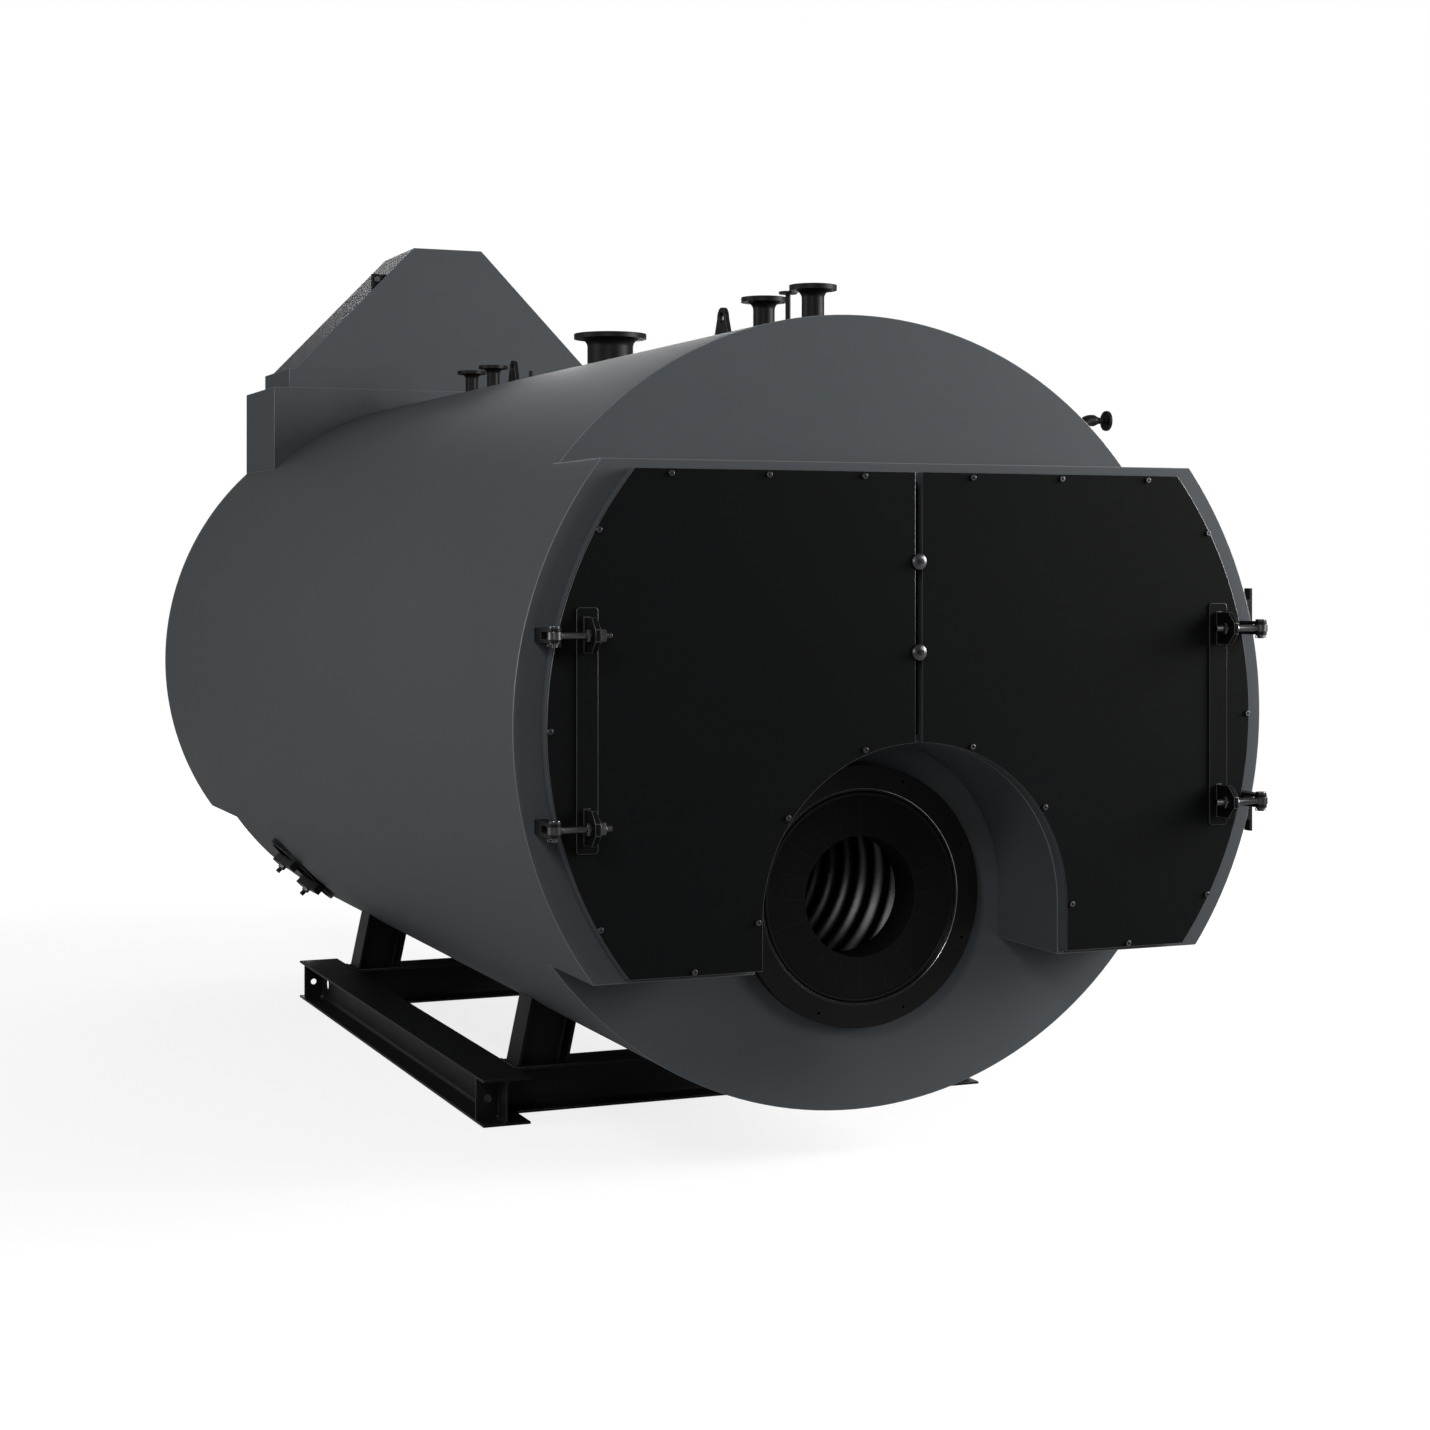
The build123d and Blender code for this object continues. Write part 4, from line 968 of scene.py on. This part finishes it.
# %% Door linings and rope seals
ROPE_MARGIN = 0.008
ROPE_WIDTH = 0.013
ROPE_HEIGHT = 0.0042
BOARD_MARGIN = 0.038
BOARD_HEIGHT = 0.0026
CLIP_PITCH = 0.27
CLIP_RADIUS = 0.017
CLIP_HEIGHT = 0.0012
CLIP_EDGE_GAP = 0.05
CLIP_COLUMNS = 7
CLIP_ROWS = 9
CLIP_TOP_SHARE = 0.9
LINING_ROUND_SHARE = 0.45
FACES_REAR = 0.99


def pan_back(leaf):
    """The flat inner face of one door pan, alone in a bmesh."""
    bm = merged_copy(f"door_{leaf}_pan")
    rear_faces = [face for face in bm.faces if face.normal.y > FACES_REAR]
    back = max(rear_faces, key=lambda face: face.calc_area())
    bmesh.ops.delete(bm, geom=[face for face in bm.faces if face != back], context="FACES")
    return bm, back


def inset_face(bm, face, margin):
    """Insets one face and returns the strip that this leaves around it."""
    made = bmesh.ops.inset_region(
        bm, faces=[face], thickness=margin, use_even_offset=True, use_boundary=True
    )
    return made["faces"]


def thickened(bm, height):
    """Gives flat faces a thickness towards the rear, with rounded outer edges."""
    bm.faces.ensure_lookup_table()
    level = bm.faces[0].verts[0].co.y + height
    top = only_verts(bmesh.ops.extrude_face_region(bm, geom=list(bm.faces))["geom"])
    bmesh.ops.translate(bm, verts=top, vec=(0, height, 0))
    bmesh.ops.recalc_face_normals(bm, faces=bm.faces)
    outer = [edge for edge in sharp_edges(bm) if on_plane(edge, (1, level))]
    bevel_edges(bm, outer, height * LINING_ROUND_SHARE, 3)
    return bm


def clip_places(face):
    """A square grid of places on a face, each far enough from its edge."""
    low_x = min(vert.co.x for vert in face.verts)
    low_z = min(vert.co.z for vert in face.verts)
    offsets = (-CLIP_EDGE_GAP, 0, CLIP_EDGE_GAP)
    columns = range(1, CLIP_COLUMNS + 1)
    rows = range(1, CLIP_ROWS + 1)
    places = []
    for column, row in [(column, row) for column in columns for row in rows]:
        spot = Vector((low_x + column * CLIP_PITCH, face.verts[0].co.y, low_z + row * CLIP_PITCH))
        around = [spot + Vector((x, 0, z)) for x in offsets for z in offsets]
        if all(bmesh.geometry.intersect_face_point(face, corner) for corner in around):
            places.append(spot)
    return places


for leaf in leaves:
    body = f"door_{leaf}"
    rope, rope_face = pan_back(leaf)
    bmesh.ops.delete(rope, geom=inset_face(rope, rope_face, ROPE_MARGIN), context="FACES")
    inset_face(rope, rope_face, ROPE_WIDTH)
    bmesh.ops.delete(rope, geom=[rope_face], context="FACES")
    finish_mesh(thickened(rope, ROPE_HEIGHT), f"rope_seal_{leaf}", body, "refractory")
    board, board_face = pan_back(leaf)
    bmesh.ops.delete(board, geom=inset_face(board, board_face, BOARD_MARGIN), context="FACES")
    spots = [facing_rear(spot.x, spot.y + BOARD_HEIGHT, spot.z) for spot in clip_places(board_face)]
    finish_mesh(thickened(board, BOARD_HEIGHT), f"lining_board_{leaf}", body, "refractory")
    clip = turned(
        [(0, 0), (CLIP_RADIUS, 0), (CLIP_RADIUS * CLIP_TOP_SHARE, CLIP_HEIGHT), (0, CLIP_HEIGHT)], 24
    )
    lay(clip, spots, f"lining_clips_{leaf}", body=body)
    print("Lining clips,", leaf, "leaf:", len(spots))

# %% [markdown]
# Each hinge pin is kept by a washer and a split pin: a wire with an eye, pushed through the pin's
# tail, whose two legs are bent apart. The rods are cut with a thread behind their nuts. A thread
# this small needs no helix: a stack of fine rings reads the same from any distance.

# %% Washers, split pins and threads on the hinges
PIN_HEAD_HEIGHT = 0.008
PIN_HALF_STACK = 0.025
PIN_TAIL = 0.014
WASHER_RADIUS = 0.0185
WASHER_THICKNESS = 0.0025
PIN_RADIUS = 0.012
WIRE_RADIUS = 0.0017
WIRE_LENGTH = 0.032
EYE_RADIUS = 0.0045
LEG_LENGTH = 0.009
LEG_SPREAD_DEG = 38
THREAD_RADIUS = 0.0125
THREAD_ROOT = 0.0112
THREAD_PITCH = 0.0022
THREAD_TURNS = 10


def wire(length):
    """A straight piece of wire along Z, from its middle."""
    return disc(0, WIRE_RADIUS, -length / 2, length / 2, 10)


def split_pin():
    """The wire, its eye and its two bent legs, along Z."""
    eye_points = [
        (EYE_RADIUS + WIRE_RADIUS * math.cos(math.tau * index / 8),
         WIRE_RADIUS * math.sin(math.tau * index / 8))
        for index in range(8)
    ]
    eye = moved(
        turned(eye_points, 16),
        Matrix.Translation((0, 0, WIRE_LENGTH / 2 + EYE_RADIUS)) @ rotation(90, "X"),
    )
    legs = [
        moved(
            wire(LEG_LENGTH),
            Matrix.Translation((0, 0, -WIRE_LENGTH / 2))
            @ rotation(side * LEG_SPREAD_DEG, "Y")
            @ Matrix.Translation((0, 0, -LEG_LENGTH / 2)),
        )
        for side in (-1, 1)
    ]
    return joined(wire(WIRE_LENGTH), eye, *legs)


def thread():
    """A stack of fine rings along Z."""
    ridges = []
    for index in range(THREAD_TURNS):
        ridges.append((THREAD_ROOT, index * THREAD_PITCH))
        ridges.append((THREAD_RADIUS, (index + 0.5) * THREAD_PITCH))
    return turned([(0, 0), *ridges, (0, THREAD_TURNS * THREAD_PITCH)], 24)


for leaf, side in leaves.items():
    pins_low, pins_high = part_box(f"hinge_pins_{leaf}")
    pin_x = (pins_low[0] + pins_high[0]) / 2
    pin_y = (pins_low[1] + pins_high[1]) / 2
    hinge_heights = (
        pins_high[2] - PIN_HEAD_HEIGHT - PIN_HALF_STACK, pins_low[2] + PIN_TAIL + PIN_HALF_STACK
    )
    under = [z - PIN_HALF_STACK for z in hinge_heights]
    washer = disc(PIN_RADIUS, WASHER_RADIUS, 0, WASHER_THICKNESS, 32)
    washer_spots = [Matrix.Translation((pin_x, pin_y, z - WASHER_THICKNESS)) for z in under]
    lay(washer, washer_spots, f"hinge_washers_{leaf}")
    wire_spots = [facing_side(pin_x, pin_y, z - PIN_TAIL / 2, -1) for z in under]
    lay(split_pin(), wire_spots, f"split_pins_{leaf}")
    rod_low, rod_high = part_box(f"door_{leaf}_eye_bolts")
    rod_end_x = rod_high[0] if side < 0 else rod_low[0]
    thread_spots = [facing_side(rod_end_x, pin_y, z, side) for z in hinge_heights]
    lay(thread(), thread_spots, f"rod_threads_{leaf}", body=f"door_{leaf}")
print("Hinge heights, metres:", [round(z, 3) for z in hinge_heights])

# %% [markdown]
# A flange seals on a raised face, which is turned with fine grooves that grip the gasket. On every
# nozzle this is a low ring between the bore and the bolts.

# %% Raised faces on the nozzles
FACE_RISE = 0.002
GROOVE_DEPTH = 0.0006
GROOVES = 5
FACE_LIP = 0.001
ONE_NOZZLE_BELOW = 2.5
NOZZLES = {
    "steam_nozzle": {"bore": 0.103, "face": 0.132, "flange": 0.1735},
    "front_nozzles": {"bore": 0.040, "face": 0.066, "flange": 0.094},
    "rear_nozzles": {"bore": 0.031, "face": 0.050, "flange": 0.0805},
}


def raised_face(bore, outer):
    """A low ring with concentric grooves, standing on its flange."""
    step = (outer - bore) / (GROOVES + 1)
    top = [(bore + FACE_LIP, FACE_RISE)]
    for index in range(1, GROOVES + 1):
        middle = bore + index * step
        top += [(middle - step / 5, FACE_RISE), (middle, FACE_RISE - GROOVE_DEPTH),
                (middle + step / 5, FACE_RISE)]
    return turned(
        [(bore, 0), (bore, FACE_RISE - FACE_LIP), *top, (outer, FACE_RISE), (outer, 0)], 64
    )


for node_name, sizes in NOZZLES.items():
    low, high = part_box(node_name)
    places = {low[1] + sizes["flange"], high[1] - sizes["flange"]}
    if high[1] - low[1] < ONE_NOZZLE_BELOW * sizes["flange"]:
        places = {(low[1] + high[1]) / 2}
    spots = [Matrix.Translation((0, y, high[2])) for y in places]
    lay(raised_face(sizes["bore"], sizes["face"]), spots, f"{node_name}_faces", "frame_black")
    print(node_name, "places:", [round(y, 3) for y in sorted(places)])

# %% [markdown]
# The base is welded together. A bead is a slim rod with ripples, and here each is turned from a
# rippled section and laid along its seam, half sunk in the corner that it fills.

# %% Weld beads on the base
WELD_RADIUS = 0.005
WELD_VALLEY = 0.004
WELD_PITCH = 0.0045
LEG_FOOT_DEPTH = 0.2188
BEAM_WIDTH = 0.2
BEAM_WEB = 0.007
BEAM_FLANGE = 0.010
BEAM_ROOT = 0.018
STIFFENER_THICKNESS = 0.010


def weld_bead(start, end):
    """A rippled bead from one point to another."""
    run = Vector(end) - Vector(start)
    ripples = round(run.length / WELD_PITCH)
    section = [(0, 0)]
    for index in range(ripples):
        section.append((WELD_VALLEY, run.length * index / ripples))
        section.append((WELD_RADIUS, run.length * (index + 0.5) / ripples))
    section += [(WELD_VALLEY, run.length), (0, run.length)]
    turn = run.to_track_quat("Z", "Y").to_matrix().to_4x4()
    return moved(turned(section, 8), Matrix.Translation(start) @ turn)


beam_low, beam_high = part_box("base_beam_right")
web_x = beam_high[0] - BEAM_WIDTH / 2 + BEAM_WEB / 2
beads = []
for node_name in ("legs_front", "legs_rear"):
    low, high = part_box(node_name)
    for side in (-1, 1):
        for x in (high[0], high[0] - LEG_FOOT_DEPTH):
            beads.append(weld_bead((side * x, low[1], low[2]), (side * x, high[1], low[2])))
for node_name in ("cross_beam_front", "cross_beam_rear"):
    low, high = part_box(node_name)
    for side in (-1, 1):
        x = side * (beam_high[0] - BEAM_WIDTH)
        beads.append(weld_bead((x, low[1], beam_high[2]), (x, high[1], beam_high[2])))
stiffeners_low, stiffeners_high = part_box("beam_stiffeners")
foot_z = beam_low[2] + BEAM_FLANGE + BEAM_ROOT
head_z = beam_high[2] - BEAM_FLANGE - BEAM_ROOT
for y in (stiffeners_low[1], stiffeners_high[1] - STIFFENER_THICKNESS):
    for face_y in (y, y + STIFFENER_THICKNESS):
        for side in (-1, 1):
            x = side * web_x
            beads.append(weld_bead((x, face_y, foot_z), (x, face_y, head_z)))
bead_count = len(beads)
finish_mesh(joined(*beads), "base_welds", "root", "frame_black")
print("Weld beads:", bead_count)

# %% [markdown]
# The cleaning doors at the rear are held by nuts on studs and lifted off by a bar handle. The handle
# begins as a circle that is extruded up, spun round a bend, extruded along, and so on to its other
# foot.

# %% Nuts and handles on the cleaning doors
DOOR_X = 0.520
DOOR_HALF_WIDTH = 0.310
DOOR_HALF_HEIGHT = 0.260
CLAMP_INSET = 0.035
CLAMP_WASHER = 0.019
CLAMP_WASHER_THICKNESS = 0.003
CLAMP_NUT = 0.013
CLAMP_NUT_HEIGHT = 0.012
HANDLE_LENGTH = 0.16
HANDLE_STANDOFF = 0.027
HANDLE_RADIUS = 0.006
HANDLE_BEND = 0.012


def ring_edges(parts):
    """Of the parts that an operator made, the vertices, and the edges between them."""
    verts = only_verts(parts)
    edges = dict.fromkeys(edge for vert in verts for edge in vert.link_edges)
    return verts, [edge for edge in edges if all(vert in verts for vert in edge.verts)]


def bar_handle():
    """A round bar with two bends, standing on its two feet."""
    bm = bmesh.new()
    foot_x = -HANDLE_LENGTH / 2
    bmesh.ops.create_circle(
        bm, cap_ends=True, segments=12, radius=HANDLE_RADIUS,
        matrix=Matrix.Translation((foot_x, 0, 0)),
    )
    rise = HANDLE_STANDOFF - HANDLE_BEND
    run = HANDLE_LENGTH - 2 * HANDLE_BEND
    last = list(bm.edges)
    for vec, centre in (
        ((0, 0, rise), (foot_x + HANDLE_BEND, 0, rise)),
        ((run, 0, 0), (foot_x + HANDLE_BEND + run, 0, rise)),
        ((0, 0, -rise), None),
    ):
        verts, last = ring_edges(bmesh.ops.extrude_edge_only(bm, edges=last)["geom"])
        bmesh.ops.translate(bm, verts=verts, vec=vec)
        if centre:
            bend = bmesh.ops.spin(
                bm, geom=verts + last, cent=centre, axis=(0, 1, 0), angle=math.radians(90), steps=5
            )
            verts, last = ring_edges(bend["geom_last"])
    bmesh.ops.remove_doubles(bm, verts=bm.verts, dist=MERGE_WITHIN)
    bmesh.ops.holes_fill(bm, edges=bm.edges)
    bmesh.ops.recalc_face_normals(bm, faces=bm.faces)
    return bm


doors_low, doors_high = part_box("rear_cleaning_doors")
door_z = (doors_low[2] + doors_high[2]) / 2
clamp_spots = [
    facing_rear(middle_x + across * (DOOR_HALF_WIDTH - CLAMP_INSET), doors_high[1],
                door_z + up * (DOOR_HALF_HEIGHT - CLAMP_INSET))
    for middle_x in (-DOOR_X, DOOR_X) for across in (-1, 0, 1) for up in (-1, 1)
]
clamp = joined(
    disc(0, CLAMP_WASHER, 0, CLAMP_WASHER_THICKNESS, 28),
    hexagon_nut(CLAMP_NUT, CLAMP_NUT_HEIGHT, CLAMP_WASHER_THICKNESS),
)
lay(clamp, clamp_spots, "cleaning_door_nuts")
handle_spots = [facing_rear(x, doors_high[1], door_z) for x in (-DOOR_X, DOOR_X)]
lay(bar_handle(), handle_spots, "cleaning_door_handles")
print("Clamp nuts:", len(clamp_spots))

# %% [markdown]
# The last small parts are nuts: one on each stud of the manhole's bridges, and a bolt with its nut
# through each lifting lug of the hood. The manhole leans down and out, so its nuts are laid on its
# own axis.

# %% Nuts on the manhole and bolts in the hood's lugs
MANHOLE_ANGLE_DEG = 225.3
MANHOLE_DISTANCE = 0.896
MANHOLE_BRIDGE_TOP = 0.057
BRIDGE_SPACING = 0.180
MANHOLE_NUT = 0.021
MANHOLE_NUT_HEIGHT = 0.02
LUG_BOLT_HEAD = 0.019
LUG_BOLT_HEIGHT = 0.012
LUG_HALF_THICKNESS = 0.01
LARGEST_LUG_HOLE = 0.02

angle = math.radians(MANHOLE_ANGLE_DEG)
out = Vector((math.cos(angle), 0, math.sin(angle)))
along = Vector((-math.sin(angle), 0, math.cos(angle)))
bridge_middle = Vector((0, shell_back_y - MANHOLE_DISTANCE, shell_axis_z)) + out * (
    shell_radius + MANHOLE_BRIDGE_TOP
)
lean = Matrix.Rotation(math.radians(90) - angle, 4, "Y")
nut_spots = [
    Matrix.Translation(bridge_middle + along * shift) @ lean
    for shift in (-BRIDGE_SPACING / 2, BRIDGE_SPACING / 2)
]
lay(hexagon_nut(MANHOLE_NUT, MANHOLE_NUT_HEIGHT, 0), nut_spots, "manhole_nuts")
lug_spots = []
for middle, reach in read_bores("hood_lugs", LARGEST_LUG_HOLE):
    lug_spots.append(facing_front(middle.x, middle.y - LUG_HALF_THICKNESS, middle.z))
    lug_spots.append(facing_rear(middle.x, middle.y + LUG_HALF_THICKNESS, middle.z))
lay(hexagon_nut(LUG_BOLT_HEAD, LUG_BOLT_HEIGHT, 0), lug_spots, "hood_lug_bolts")
print("Nuts and bolt heads:", len(nut_spots) + len(lug_spots))

# %% [markdown]
# The size rule: the dressed boiler has to stay inside the CAD model's box.

# %% Finish
import json
